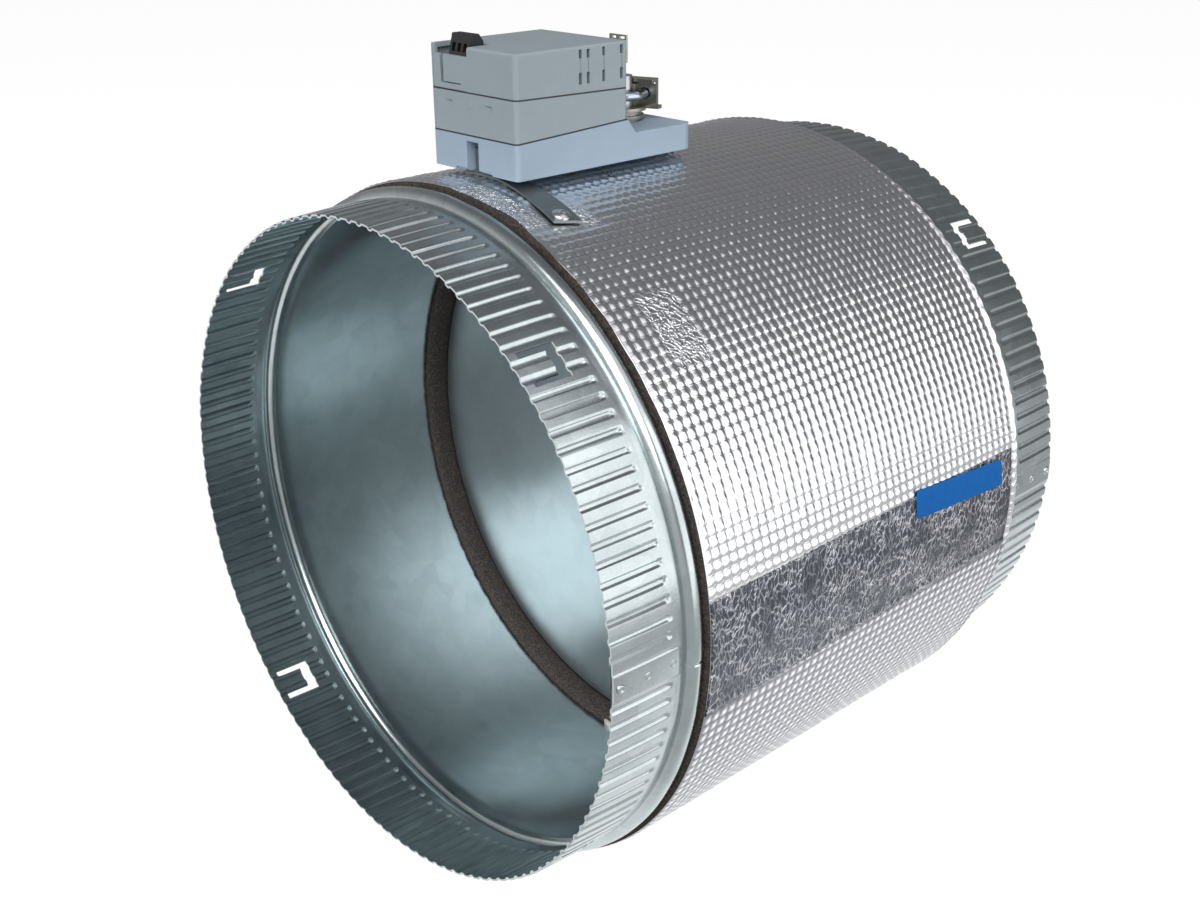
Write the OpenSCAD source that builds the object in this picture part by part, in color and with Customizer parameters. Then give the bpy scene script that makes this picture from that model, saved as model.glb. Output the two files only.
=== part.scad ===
// Motorized duct damper: an insulated round duct with a turning blade and a direct-coupled actuator.
// Millimetres. The duct runs along Y, its inlet at the low end. Z points up through the shaft and the
// actuator. The origin is on the duct's axis, at the front bead's shoulder, where a mating duct stops.

/* [View] */
// Node that is drawn

/* [Duct casing] */
// Outside diameter of the plain bands and of the body
duct_diameter = 350; // [150:1:500]
// Overall length from rim to rim
duct_length = 344; // [250:1:600]
// Thickness of the galvanised sheet
sheet = 0.9; // [0.6:0.1:1.5]
// Length of the crimped ribs at each end
rib_length = 37.5; // [20:0.5:60]
// Length of the plain band between ribs and bead
plain_band = 4.5; // [3:0.5:15]
// Ribs around each spigot
rib_count = 130; // [60:1:180]
// How far the crests of the ribs lie inside the plain bands' outside
rib_inset = 0.8; // [0.2:0.05:2]
// Depth of the grooves between the ribs
rib_depth = 0.75; // [0.3:0.05:1.5]
// Corners of one rib as shares of its pitch: crest start and end, groove start and end
rib_corner_shares = [0, 0.45, 0.59, 0.86];
// Width of each rolled bead
bead_width = 10; // [4:0.1:14]
// Share of the sheet by which the bead's centre lies inside the outer face
bead_sink_share = 0.25; // [0:0.05:0.5]
// Direction of the lengthwise seam, from the actuator towards the right side
seam_angle = 90; // [0:1:360]
// Width of the seam's lap
seam_width = 14; // [8:0.5:25]
// Thickness of the seam's lap over the rib crests
seam_lap = 0.25; // [0.1:0.05:1.5]
// Radius of a seam's clinch button
clinch_radius = 2.4; // [1:0.1:4]
// Height of a clinch button over the lap
clinch_height = 0.45; // [0.1:0.05:1]
// Places of the clinch buttons as shares of the rib length, from the rim
clinch_shares = [0.107, 0.587, 0.933];

/* [Punched latches in the spigots] */
// Latches around each spigot
latch_count = 4; // [2:1:8]
// Direction of the first latch
latch_angle = 42; // [0:1:90]
// Width of the U-shaped cut
latch_width = 18; // [8:0.5:30]
// Length of the U-shaped cut along the duct
latch_length = 20.5; // [10:0.5:32]
// Width of the cut's legs
latch_leg = 3.2; // [1:0.1:6]
// Length of the cut's base along the duct
latch_base = 6; // [2:0.1:12]
// Distance from the rim to the cut
latch_from_rim = 4.5; // [2:0.5:12]

/* [Insulation] */
// Thickness of the foam on the duct
foam_thickness = 7; // [3:0.5:50]
// Gap between the foam's rear end and the rear bead
foam_rear_gap = 0.9; // [0.1:0.1:5]
// Thickness of the foil facing
foil_thickness = 0.3; // [0.1:0.05:1]
// Bare foam in front of the foil
foil_setback = 0.4; // [0:0.1:10]
// How far the straight foil reaches past the foam's rear end
foil_overhang = 1.8; // [0.3:0.1:4]
// Length of the foil's rear edge, drawn in over the bead
foil_roll = 6; // [0:0.1:9]
// How far that edge is drawn in
foil_roll_drop = 1.7; // [0.2:0.1:2]
// Radius of the holes in the foam around the shaft's bushes
foam_hole_radius = 12; // [8:0.5:30]
// Thickness of the foil tape over the foil's joint
tape_thickness = 0.2; // [0.1:0.05:0.5]
// Width of the foil tape
tape_width = 59.4; // [25:0.1:100]
// Direction of the tape's middle
tape_angle = 90.6; // [0:0.1:360]
// Distance from each end of the foil to the tape
tape_end_gap = 0.5; // [0:0.1:10]
// Thickness of the coloured size label
label_thickness = 0.15; // [0.05:0.05:0.5]
// Width of the size label around the duct
label_width = 16.1; // [8:0.1:50]
// Length of the size label along the duct
label_length = 76.6; // [20:0.1:150]
// Distance from the size label to the foil's rear end
label_rear_gap = 12.8; // [0:0.1:100]
// Distance around the duct from the tape's middle to the size label's middle
label_shift = 23.6; // [0:0.1:60]

/* [Blade] */
// Gap between the blade discs and the duct's wall
disc_gap = 7.9; // [5:0.1:20]
// Thickness of each blade disc
disc_sheet = 0.9; // [0.6:0.1:2]
// Distance from the shaft's axis to the front disc's front face
blade_offset = 2.4; // [0:0.1:8]
// Thickness of the rubber sheet between the discs
seal_thickness = 3.2; // [1:0.1:6]
// Gap between the rubber sheet and the duct's wall
seal_gap = 5.5; // [3:0.1:15]
// Height of the foam strip on the duct's wall
gasket_height = 5.1; // [2:0.1:12]
// Distance from the foam strip's front edge to the shaft's axis
gasket_reach = 9.4; // [2:0.1:30]
// Width of the foam strip
gasket_width = 24; // [10:0.5:50]
// Radius of a blade rivet's shank
rivet_radius = 1.6; // [1:0.1:3]
// Radius of a rivet's heads
rivet_head_radius = 2.9; // [1.5:0.1:6]
// Height of a rivet's heads
rivet_head_height = 1; // [0.5:0.1:3]
// Distance of the rivets from the blade's middle line
rivet_side = 10.5; // [8:0.5:30]
// Heights of the rivets as shares of the disc radius
rivet_shares = [-0.84, -0.6, -0.3, 0.3, 0.6, 0.84];
// Radius of the two bolts through blade and shaft
blade_bolt_radius = 2.5; // [1.5:0.1:5]
// Heights of the blade bolts as shares of the disc radius
blade_bolt_shares = [-0.42, 0.42];
// Radius over the corners of a blade bolt's head and nut
blade_hex_radius = 4.6; // [3:0.1:9]
// Height of a blade bolt's head
blade_head_height = 3.5; // [2:0.1:6]
// Height of a blade bolt's nut
blade_nut_height = 4; // [2:0.1:8]
// Thread that stands out of the nut
blade_thread_end = 1.6; // [0:0.1:5]

/* [Shaft] */
// Place of the shaft's axis along the duct, from the front bead's shoulder
shaft_y = 130; // [115:0.5:300]
// Radius of the damper's shaft
shaft_radius = 6; // [4:0.5:10]
// Height of the shaft's top end over the clamp's bracket
shaft_over = 1.8; // [0:0.1:20]
// Length of the shaft under the lower bush
shaft_under = 2.5; // [1:0.1:20]
// Running clearance of the shaft in its bushes
shaft_play = 0.05; // [0.02:0.01:0.1]
// Radius of a bush in the duct's wall
bush_radius = 8; // [6:0.1:15]
// Radius of a bush's flanges
bush_flange_radius = 11; // [8:0.1:20]
// Thickness of a bush's inner flange at its middle
bush_inner_flange = 2.9; // [1:0.1:6]
// Length of a bush's nose inside its inner flange
bush_nose = 2; // [0.5:0.1:5]
// Thickness of a bush's outer flange at its middle
bush_outer_flange = 2.5; // [1:0.1:6]
// Clearance around a bush's inner flange in the foam strip
bush_flange_clearance = 0.3; // [0.1:0.1:2]
// Radius of the groove for the retaining clip
clip_groove_radius = 5; // [3:0.1:9]
// Width of the groove
clip_groove_width = 1; // [0.6:0.1:2]
// Thickness of the retaining clip
clip_thickness = 0.8; // [0.5:0.1:2]
// Outside radius of the retaining clip
clip_radius = 8.5; // [6:0.1:15]
// Width of the retaining clip's mouth
clip_mouth = 7; // [4:0.1:12]
// Distance from the lower bush to the groove
clip_distance = 0.1; // [0.1:0.1:2]

/* [Anti-rotation strap] */
// Thickness of the strap
strap_thickness = 1.2; // [1:0.1:3]
// Direction of the strap's end, from the actuator towards the right side
strap_tip_angle = 20.7; // [12:0.1:60]
// How much further round the rear corner of the strap's end lies
strap_tip_slant = 4.4; // [0:0.1:12]
// Distance from the front edge of the strap's end to the actuator's front
strap_tip_before = 4.6; // [0:0.1:20]
// Distance from the actuator's front to the rear edge of the strap's end
strap_tip_behind = 9.4; // [5:0.1:40]
// Distance from the actuator's front to the front edge of the strap under it
strap_root_before = 3.4; // [2.5:0.1:20]
// Distance from the actuator's front to the rear edge of the strap under it
strap_root_behind = 15.4; // [5:0.1:40]
// Raised seat under the actuator
strap_seat = 0.9; // [0.1:0.1:2]
// Half width of the raised seat
strap_seat_half = 12; // [5:0.5:30]
// Thickness of the tongue in the actuator's slot
tongue_thickness = 2; // [1:0.1:4]
// Distance from the actuator's front to the tongue
tongue_setback = 4.7; // [1:0.1:15]
// Play of the tongue on each side of the slot
tongue_play = 1; // [0.2:0.1:3]
// Height of the tongue over the actuator's bottom
tongue_height = 11; // [5:0.5:30]
// Direction of the strap's screw
strap_screw_angle = 19.2; // [8:0.1:50]
// Distance from the actuator's front to the strap's screw
strap_screw_behind = 2; // [0:0.1:20]
// Radius of the strap screw's shank
strap_screw_radius = 1.9; // [1:0.1:4]
// Radius of the strap screw's head
strap_head_radius = 4.6; // [2:0.1:8]
// Height of the strap screw's head
strap_head_height = 2.6; // [1:0.1:5]
// Straight rim at the foot of the head
strap_head_rim = 0.8; // [0.2:0.1:2]
// Length of the strap screw inside the duct
strap_screw_inside = 2; // [0:0.1:6]
// Width of the cross recess
cross_width = 1; // [0.4:0.1:2]
// Span of the cross recess
cross_span = 4.8; // [2:0.1:8]
// Depth of the cross recess
cross_depth = 1.3; // [0.5:0.1:3]

/* [Actuator housing] */
// Width of the actuator
box_width = 64.5; // [40:0.5:120]
// Distance from the actuator's front to the shaft's axis
box_reach = 98.7; // [75:0.1:160]
// Distance from the shaft's axis to the actuator's rear
box_behind = 21.7; // [16:0.1:50]
// Distance from the rear of the actuator's high part to the shaft's axis
tower_gap = 26.2; // [22:0.1:50]
// Height of the low rear deck over the bottom
deck_height = 13.4; // [8:0.1:30]
// Height of the base's upper edge at the front
base_front_height = 17.6; // [10:0.1:40]
// Height of the base's upper edge at the tower's rear
base_rear_height = 20.8; // [10:0.1:40]
// Bevel along the deck's rear edge
deck_edge = 1.2; // [0.2:0.1:4]
// Length of the slope from the tower down to the deck
deck_slope = 5.7; // [1:0.1:15]
// Height of the middle housing's upper edge at the front
middle_front_height = 37.9; // [20:0.1:70]
// Height of the middle housing's upper edge at the rear
middle_rear_height = 36.3; // [20:0.1:70]
// Overall height of the housing
box_height = 59.1; // [30:0.1:120]
// Wall thickness of the housing
wall = 2; // [1:0.1:4]
// Thickness of the cover's top
cover_top = 2.2; // [1:0.1:5]
// Radius of the upright corners
corner_radius = 2.4; // [1:0.1:10]
// Radius of the deck's rear corners
deck_corner_radius = 7; // [2:0.5:20]
// Radius of the cover's top edges
top_edge_radius = 1.5; // [0.5:0.1:5]

/* [Actuator details] */
// Left side of the slot for the strap's tongue
slot_left = -6.1; // [-20:0.1:0]
// Width of the slot for the tongue
slot_width = 9.2; // [4:0.1:20]
// Height of the slot over the bottom
slot_height = 14.6; // [6:0.1:30]
// Depth of the slot
slot_depth = 9.7; // [4:0.1:30]
// Left end of the shallow cut under the front wall
foot_cut_left = -15.5; // [-30:0.1:0]
// Length of the shallow cut under the front wall
foot_cut_length = 28.5; // [5:0.1:60]
// Height of the shallow cut
foot_cut_height = 1.2; // [0.5:0.1:4]
// Places of the pry pockets in the middle housing
pry_places = [-15.6, 14.4];
// Height of the pry pockets over the bottom
pry_height = 31.4; // [20:0.1:40]
// Width of a pry pocket
pry_width = 6.4; // [3:0.1:12]
// Height of a pry pocket's mouth
pry_tall = 3.6; // [2:0.1:8]
// Depth of a pry pocket
pry_depth = 1.5; // [0.5:0.1:2]
// Place of the small raised mark on the middle housing
nub_x = -2.2; // [-20:0.1:20]
// Height of the small raised mark over the bottom
nub_height = 32.4; // [20:0.1:50]
// Size of the small raised mark: width, thickness and height
nub_size = [2.8, 0.3, 3.6];
// Width of the front wall left of the terminal recess
recess_side = 3.95; // [2:0.05:20]
// Right side of the terminal recess
recess_right = -3.2; // [-20:0.1:20]
// Depth of the recess at the front wall
recess_depth = 4.7; // [2:0.1:15]
// Length of the recess from the front face
recess_length = 14.7; // [5:0.1:40]
// Right side of the cover's lower front panel
panel_right = -4.2; // [-20:0.1:20]
// Depth of the step at the panel's right side
panel_step = 0.35; // [0.1:0.05:1]
// Height of the panel's lower edge over the bottom
panel_low = 40.9; // [35:0.1:60]
// Distance from the actuator's left side to the open gap beside the panel
gap_side = 7.75; // [2:0.05:20]
// Width of the open gap beside the panel
gap_width = 2.2; // [0.5:0.1:5]
// Right end of the slit under the panel
slit_right = -9; // [-20:0.1:10]
// Height of the slit under the panel
slit_height = 0.6; // [0.3:0.1:2]
// Places of the tie slots as shares of the high part's length, from the front
tie_shares = [0.564, 0.6345, 0.775, 0.939];
// Width of a tie slot
tie_width = 2; // [1:0.1:4]
// Height of a lower tie slot's foot over the bottom
tie_low = 41.1; // [38:0.1:50]
// Height of a tie slot
tie_tall = 5.4; // [2:0.1:10]
// Distance from the top to an upper tie slot's foot
tie_drop = 5.9; // [4.5:0.1:12]
// Height of an upper tie slot
tie_high_tall = 4.2; // [2:0.1:10]
// Depth of the groove between two tie slots
tie_groove = 0.4; // [0.1:0.1:1]
// Width of the rear clip
clip_plate_width = 12; // [5:0.5:30]
// Distance from the rear clip to the actuator's right side
clip_plate_side = 1.45; // [1:0.05:40]
// Thickness of the rear clip
clip_plate_thickness = 1.2; // [0.5:0.1:3]
// Height of the rear clip under the cover's top
clip_plate_under = 11.1; // [5:0.1:20]
// Height of the rear clip over the cover
clip_plate_over = 2; // [0.5:0.1:6]
// Windows in the rear clip as shares of its width: start and end of each
clip_window_shares = [[0.16, 0.4], [0.6, 0.9]];
// Rim of the rear clip over its windows
clip_plate_rim = 0.7; // [0.3:0.1:3]

/* [Inside the actuator] */
// Thickness of the steel gear plate
plate_thickness = 1.5; // [1:0.1:4]
// Height of the gear plate over the bottom
plate_height = 12.1; // [8:0.1:20]
// Gap between the gear plate and the side walls
plate_side_gap = 1.75; // [0.5:0.05:10]
// Distance of the gear plate from the actuator's front
plate_setback = 12.7; // [5:0.1:40]
// Gap between the gear plate and the tower's rear wall
plate_rear_gap = 0.8; // [0.1:0.1:5]
// Distance of the posts from the actuator's sides
post_side = 5.75; // [5.3:0.05:15]
// Distance of the front posts from the actuator's front
post_setback = 16.7; // [14:0.1:30]
// Distance of the rear posts from the tower's rear
post_rear_gap = 6.8; // [6.1:0.1:20]
// Radius of a post
post_radius = 3.2; // [2:0.1:6]
// Radius of a housing screw's shank
housing_screw_radius = 1.5; // [1:0.1:3]
// Radius of a housing screw's head
housing_head_radius = 2.7; // [1.5:0.1:5]
// Height of a housing screw's head
housing_head_height = 1.5; // [0.8:0.1:4]
// Distance of a housing screw's head from the bottom face
housing_head_sink = 0.2; // [0:0.1:2]
// Clearance around a housing screw's head
housing_head_clearance = 0.2; // [0.1:0.1:1]
// Length of a housing screw over the gear plate
housing_screw_over = 1.5; // [0:0.1:5]
// Distance from the actuator's top to the circuit board's underside
board_drop = 13.1; // [5:0.1:20]
// Thickness of the circuit board
board_thickness = 1.6; // [0.8:0.1:3]
// Gap between the circuit board and the side walls
board_side_gap = 3.25; // [1:0.05:15]
// Distance of the circuit board from the actuator's front
board_setback = 3.7; // [2.2:0.1:20]
// Gap between the circuit board and the motor
board_motor_gap = 3; // [1:0.1:20]
// Distance of the standoffs from the board's sides
standoff_side = 5; // [3:0.1:15]
// Places of the standoffs as shares of the board's length, from the front
standoff_shares = [0.436, 0.897];
// Radius of a standoff
standoff_radius = 2.2; // [1:0.1:5]
// Radius of the motor
motor_radius = 11.5; // [5:0.1:20]
// Gap between the motor's rear bearing cap and the cover
motor_cover_gap = 6.7; // [2:0.1:20]
// Radius of the motor's rear bearing cap
motor_cap_radius = 5; // [2:0.1:10]
// Height of the motor's rear bearing cap
motor_cap_height = 1.6; // [0.5:0.1:5]
// Radius of the motor's shaft
motor_shaft_radius = 1; // [0.5:0.1:3]
// Length of the motor's shaft inside the motor
motor_shaft_inside = 10; // [4:0.5:30]
// Clearance of the motor's shaft in the gear plate
motor_shaft_clearance = 0.6; // [0.2:0.1:2]
// Left side of the terminal block
block_left = -19.5; // [-28:0.1:0]
// Width of the terminal block
block_width = 14.3; // [6:0.1:25]
// Height of the terminal block's top over the cover
block_over = 5.2; // [2:0.1:10]
// Distance from the cover's top down to where the block's front starts to slope
block_kink_under = 4.3; // [1:0.1:6]
// Height over the cover at which the block's rear starts to slope
block_kink_over = 1.7; // [0:0.1:5]
// Places of the block's outline behind the actuator's front: foot, top front, top rear and rear
block_places = [2.1, 4.6, 9.7, 12.3];
// Wire mouths as shares of the block's width
mouth_shares = [0.2, 0.5, 0.8];
// Width of a wire mouth
mouth_width = 2.6; // [1:0.1:5]
// Distance from the cover's top to a wire mouth's foot
mouth_under = 3.1; // [1:0.1:6]
// Height of a wire mouth
mouth_tall = 4; // [2:0.1:8]
// Depth of a wire mouth
mouth_depth = 5; // [2:0.1:8]
// Radius of a terminal screw
terminal_screw_radius = 1.5; // [0.8:0.1:3]
// Depth of a terminal screw's hole
terminal_screw_depth = 3; // [1:0.1:6]
// Distance of a terminal screw under the block's top
terminal_screw_sink = 0.6; // [0:0.1:3]
// Width of a terminal screw's slit
terminal_slit = 0.5; // [0.2:0.1:1]

/* [Gear train] */
// Module of the output pair
module_a = 0.9; // [0.4:0.1:2]
// Teeth of the output gear
teeth_output = 30; // [20:1:60]
// Teeth of the first small gear
teeth_small_a = 12; // [10:1:20]
// Module of the middle pair
module_b = 0.8; // [0.4:0.1:2]
// Teeth of the first large gear
teeth_large_b = 22; // [16:1:40]
// Teeth of the second small gear
teeth_small_b = 12; // [10:1:20]
// Module of the motor pair
module_c = 0.6; // [0.3:0.1:2]
// Teeth of the second large gear
teeth_large_c = 20; // [16:1:40]
// Teeth of the motor's pinion
teeth_pinion = 10; // [9:1:16]
// Pressure angle of all gears
pressure_angle = 25; // [20:1:28]
// Addendum as a share of the module
addendum_share = 0.8; // [0.6:0.05:1]
// Dedendum as a share of the module
dedendum_share = 1; // [0.8:0.05:1.3]
// Play between two meshing teeth
tooth_play = 0.14; // [0.05:0.01:0.3]
// Flank points as shares of the tooth's height
flank_shares = [0, 0.35, 0.7, 1];
// Height of the lowest gears over the bottom
gear_low = 2.6; // [2.2:0.1:8]
// Width of the output gear
output_gear_width = 6; // [2:0.1:12]
// Height of the first large gear over the bottom
large_b_height = 9.1; // [5:0.1:15]
// Width of the first large gear
large_b_width = 1.8; // [1:0.1:5]
// Width of the motor pair's gears
gear_c_width = 2.4; // [1:0.1:5]
// Height of the second small gear over the bottom
small_b_height = 8.8; // [5:0.1:15]
// Width of the second small gear
small_b_width = 2.4; // [1:0.1:5]
// Radius of the collars between two gears
gear_collar_radius = 3; // [2:0.1:6]
// Radius of the gear axles
axle_radius = 1.5; // [0.8:0.1:4]
// Running clearance on axles, journals and the motor's shaft
running_play = 0.05; // [0.02:0.01:0.1]
// Gap between the axle bosses and the gears
boss_gap = 0.05; // [0.02:0.01:0.5]

/* [Hub and shaft clamp] */
// Turn of the clamp on the shaft, seen from above
clamp_turn = 20; // [-45:1:45]
// Radius of the hub's sleeve
sleeve_radius = 8.5; // [7:0.1:14]
// Height of the sleeve's foot over the bottom
sleeve_low = 0.5; // [0.1:0.1:2]
// Radius of the hub's neck in the deck
neck_radius = 10.5; // [8:0.1:18]
// Height of the neck's foot over the bottom
neck_low = 11.8; // [8:0.1:13]
// Height of the hub's top over the bottom
hub_top = 18.8; // [15:0.1:30]
// Radius of the hub's ring over the deck
ring_radius = 12; // [9:0.1:20]
// Height of the ring's foot over the bottom
ring_low = 14.6; // [14.5:0.1:20]
// Thickness of the ring
ring_thickness = 1.9; // [1:0.1:4]
// Sheet thickness of the clamp's bracket
bracket_sheet = 2; // [1:0.1:4]
// Thickness of the bracket's floor and lip
bracket_floor = 1.8; // [1:0.1:4]
// Radius of the bracket's round floor
bracket_round = 13.2; // [10:0.1:20]
// Half width of the bracket's floor at the rear
bracket_floor_half = 18.2; // [10:0.1:24]
// Half width of the bracket's upright plate
bracket_half = 16.5; // [10:0.1:24]
// Distance from the shaft's axis to the upright plate's front face
bracket_back = 8.8; // [7:0.1:15]
// Height of the bracket over the hub
bracket_height = 15.6; // [8:0.1:30]
// Length of the bracket's upper lip
bracket_lip = 5.8; // [2:0.1:12]
// Clearance of the lip around the shaft
lip_clearance = 0.6; // [0.2:0.1:3]
// Length of the floor in front of the upright plate
floor_front = 1.8; // [0.5:0.1:5]
// Length of the floor behind the upright plate
floor_behind = 0.7; // [0:0.1:4]
// Radius of the clamp's U-bolt rod
ubolt_radius = 2.4; // [1.5:0.1:5]
// Distance of the U-bolt's legs from the middle
ubolt_side = 9.8; // [8:0.1:14]
// Height of the U-bolt over the hub
ubolt_height = 7.5; // [4:0.1:15]
// Length of the U-bolt's legs behind the upright plate
ubolt_behind = 7.2; // [4:0.1:15]
// Clearance of a leg in the upright plate
ubolt_clearance = 0.7; // [0.2:0.1:2]
// Width of the relief windows beside the lip
relief_width = 1.6; // [0.5:0.1:4]
// Distance of the relief windows from the plate's side
relief_edge = 0.9; // [0.3:0.1:4]
// Height of the relief windows
relief_height = 1.5; // [0.5:0.1:4]
// Outside radius of the clamp's washers
washer_radius = 5; // [3:0.1:9]
// Thickness of the clamp's washers
washer_thickness = 1; // [0.5:0.1:3]
// Radius over the corners of the clamp's nuts
nut_radius = 4.6; // [3:0.1:9]
// Height of the clamp's nuts
nut_height = 4; // [2:0.1:8]
// Half width of the clamp's jaw
jaw_half = 6.4; // [4:0.1:9]
// Thickness of the clamp's jaw
jaw_thickness = 5.2; // [3:0.1:8]
// Height of the clamp's jaw
jaw_height = 11; // [5:0.1:20]

/* [Hidden] */
$fn = 96;
hex = 6;
half = 1 / 2;
half_turn = 180;
quarter_turn = 90;
full_turn = 360;
many = 3;
eps_cut = sheet;

duct_r = duct_diameter * half;
inner_r = duct_r - sheet;
crest_r = duct_r - rib_inset;
groove_r = crest_r - rib_depth;
spigot_length = rib_length + plain_band;
body_length = duct_length - spigot_length - spigot_length;
bead_roll = bead_width * half;
bead_centre_r = duct_r - sheet * bead_sink_share;
foam_r = duct_r + foam_thickness;
foil_r = foam_r + foil_thickness;
tape_r = foil_r + tape_thickness;
label_r = tape_r + label_thickness;
foam_start = bead_width;
foam_end = body_length - bead_width - foam_rear_gap;
foil_start = foam_start + foil_setback;
foil_end = foam_end + foil_overhang;
label_start = foil_end - label_rear_gap - label_length;
label_angle = tape_angle - label_shift / label_r * half_turn / PI;
far = duct_diameter;

disc_radius = inner_r - disc_gap;
seal_radius = inner_r - seal_gap;
gasket_radius = inner_r - gasket_height;
gasket_start = shaft_y - gasket_reach;
front_face = shaft_y + blade_offset;
seal_front = front_face + disc_sheet;
rear_disc = seal_front + seal_thickness;
blade_rear = rear_disc + disc_sheet;
channel_r = shaft_radius + disc_sheet;

bush_top = duct_r + bush_outer_flange;
bush_low = inner_r - bush_inner_flange;
shaft_bottom = bush_top + shaft_under;

strap_r = foil_r + strap_thickness;
box_x0 = -box_width * half;
box_x1 = box_width * half;
box_front = shaft_y - box_reach;
box_rear = shaft_y + box_behind;
tower_rear = shaft_y - tower_gap;
tower_length = tower_rear - box_front;
box_bottom = strap_r + strap_seat;
strap_tip_front = box_front - strap_tip_before;
strap_tip_rear = box_front + strap_tip_behind;
strap_root_front = box_front + strap_root_before;
strap_root_rear = box_front + strap_root_behind;
strap_screw_y = box_front + strap_screw_behind;
deck_z = box_bottom + deck_height;
box_top = box_bottom + box_height;
base_z0 = box_bottom + base_front_height;
base_z1 = box_bottom + base_rear_height;
middle_z0 = box_bottom + middle_front_height;
middle_z1 = box_bottom + middle_rear_height;
floor_z = box_bottom + wall;
deck_in_z = deck_z - wall;
plate_z = box_bottom + plate_height;
plate_top_z = plate_z + plate_thickness;
plate_half = box_x1 - wall - plate_side_gap;
post_x = box_x1 - post_side;
post_places = [box_front + post_setback, tower_rear - post_rear_gap];
recess_left = box_x0 + recess_side;
recess_sill = box_height - recess_depth;
gap_left = box_x0 + gap_side;
tie_high = box_height - tie_drop;
clip_plate_left = box_x1 - clip_plate_side - clip_plate_width;
block_top = box_height + block_over;
board_half = box_x1 - wall - board_side_gap;
standoff_x = board_half - standoff_side;
board_z = box_top - board_drop;
board_top_z = board_z + board_thickness;
slot_right = slot_left + slot_width;
tongue_top = box_bottom + tongue_height;

centre_a = module_a * (teeth_output + teeth_small_a) * half;
centre_b = module_b * (teeth_large_b + teeth_small_b) * half;
centre_c = module_c * (teeth_large_c + teeth_pinion) * half;
axle_1_y = shaft_y - centre_a;
axle_2_y = axle_1_y - centre_b;
motor_y = axle_2_y - centre_c;
motor_length = box_top - cover_top - motor_cover_gap - motor_cap_height - plate_top_z;
board_front = box_front + board_setback;
board_length = motor_y - motor_radius - board_motor_gap - board_front;
gear_z = box_bottom + gear_low;
large_b_z = box_bottom + large_b_height;
small_b_z = box_bottom + small_b_height;

hub_z = box_bottom + hub_top;
ubolt_z = hub_z + ubolt_height;
bracket_y = shaft_y + bracket_back;
bracket_top = hub_z + bracket_height;
shaft_top = bracket_top + shaft_over;
ubolt_bend_y = shaft_y - shaft_radius + ubolt_side - ubolt_radius;

// Turns what is drawn along Z so that it runs along the duct
module along_duct() { rotate([-quarter_turn, 0, 0]) children(); }

// Stands children on the duct's radius in the direction t, counted from the actuator
module at_angle(t) { rotate([0, t, 0]) children(); }

// Draws children at the front end and their mirror image at the rear end
module both_ends() {
    children();
    translate([0, body_length, 0]) mirror([0, 1, 0]) children();
}

// Draws children over the duct and their mirror image under it
module top_and_bottom() {
    children();
    mirror([0, 0, 1]) children();
}

// A box between two corners
module block(low, high) { translate(low) cube(high - low); }

// A shell around the duct's axis between two radii and two places
module shell(r0, r1, y0, y1) {
    along_duct() rotate_extrude() translate([r0, y0]) square([r1 - r0, y1 - y0]);
}

// A part of such a shell, centred on the direction t and as wide as given at its outside
module shell_piece(r0, r1, y0, y1, t, width) {
    span = width / r1 * half_turn / PI;
    along_duct() rotate([0, 0, t - quarter_turn - span * half])
        rotate_extrude(angle = span) translate([r0, y0]) square([r1 - r0, y1 - y0]);
}

// A solid round bar along the duct
module bar_y(r, y0, y1) { translate([0, y0, 0]) along_duct() cylinder(r = r, h = y1 - y0); }

// A flat rectangle with one radius at its low corners and another at its high corners
module rounded(low, high, r_low, r_high) {
    translate([low[0] + r_low, low[1]]) square([high[0] - low[0] - r_low - r_low, r_low]);
    translate([low[0], low[1] + r_low]) square([high[0] - low[0], high[1] - low[1] - r_low - r_high]);
    translate([low[0] + r_high, high[1] - r_high]) square([high[0] - low[0] - r_high - r_high, r_high]);
    for (x = [low[0] + r_low, high[0] - r_low]) translate([x, low[1] + r_low]) circle(r = r_low);
    for (x = [low[0] + r_high, high[0] - r_high]) translate([x, high[1] - r_high]) circle(r = r_high);
}

// Extrudes an outline drawn in length and height across the actuator
module across(x0, x1) {
    translate([x0, 0, 0]) rotate([quarter_turn, 0, quarter_turn]) linear_extrude(x1 - x0) children();
}

function polar(r, a) = [r * cos(a), r * sin(a)];

// Half the angle that the seam's smooth strip takes
seam_half = seam_width / crest_r * half_turn / PI * half;
function from_seam(a) = min(abs(a), abs(a - full_turn));
function rib_r(k, a, crest) = from_seam(a) < seam_half ? crest : (k < 2 ? crest : crest - rib_depth);
function rib_outline(crest) = [
    for (i = [0:rib_count - 1]) for (k = [0:len(rib_corner_shares) - 1])
        let (a = (i + rib_corner_shares[k]) * full_turn / rib_count)
            polar(rib_r(k, a, crest), a)
];

module ribbed_end() {
    translate([0, -spigot_length, 0]) along_duct() linear_extrude(rib_length - sheet * half) difference() {
        polygon(rib_outline(crest_r));
        polygon(rib_outline(crest_r - sheet));
    }
}

module bead_section() {
    translate([bead_centre_r, bead_roll]) difference() {
        circle(r = bead_roll);
        circle(r = bead_roll - sheet);
        translate([-bead_width - (bead_centre_r - inner_r), -bead_width]) square([bead_width, bead_width * 2]);
    }
}

module end_section() {
    translate([inner_r, -plain_band]) square([sheet, plain_band + sheet * half]);
    translate([groove_r - sheet, -plain_band - sheet]) square([duct_r - groove_r + sheet, sheet]);
    bead_section();
}

module casing_section() {
    end_section();
    translate([0, body_length]) mirror([0, 1]) end_section();
    translate([inner_r, bead_width - sheet * half])
        square([sheet, body_length - bead_width - bead_width + sheet]);
}

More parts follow.
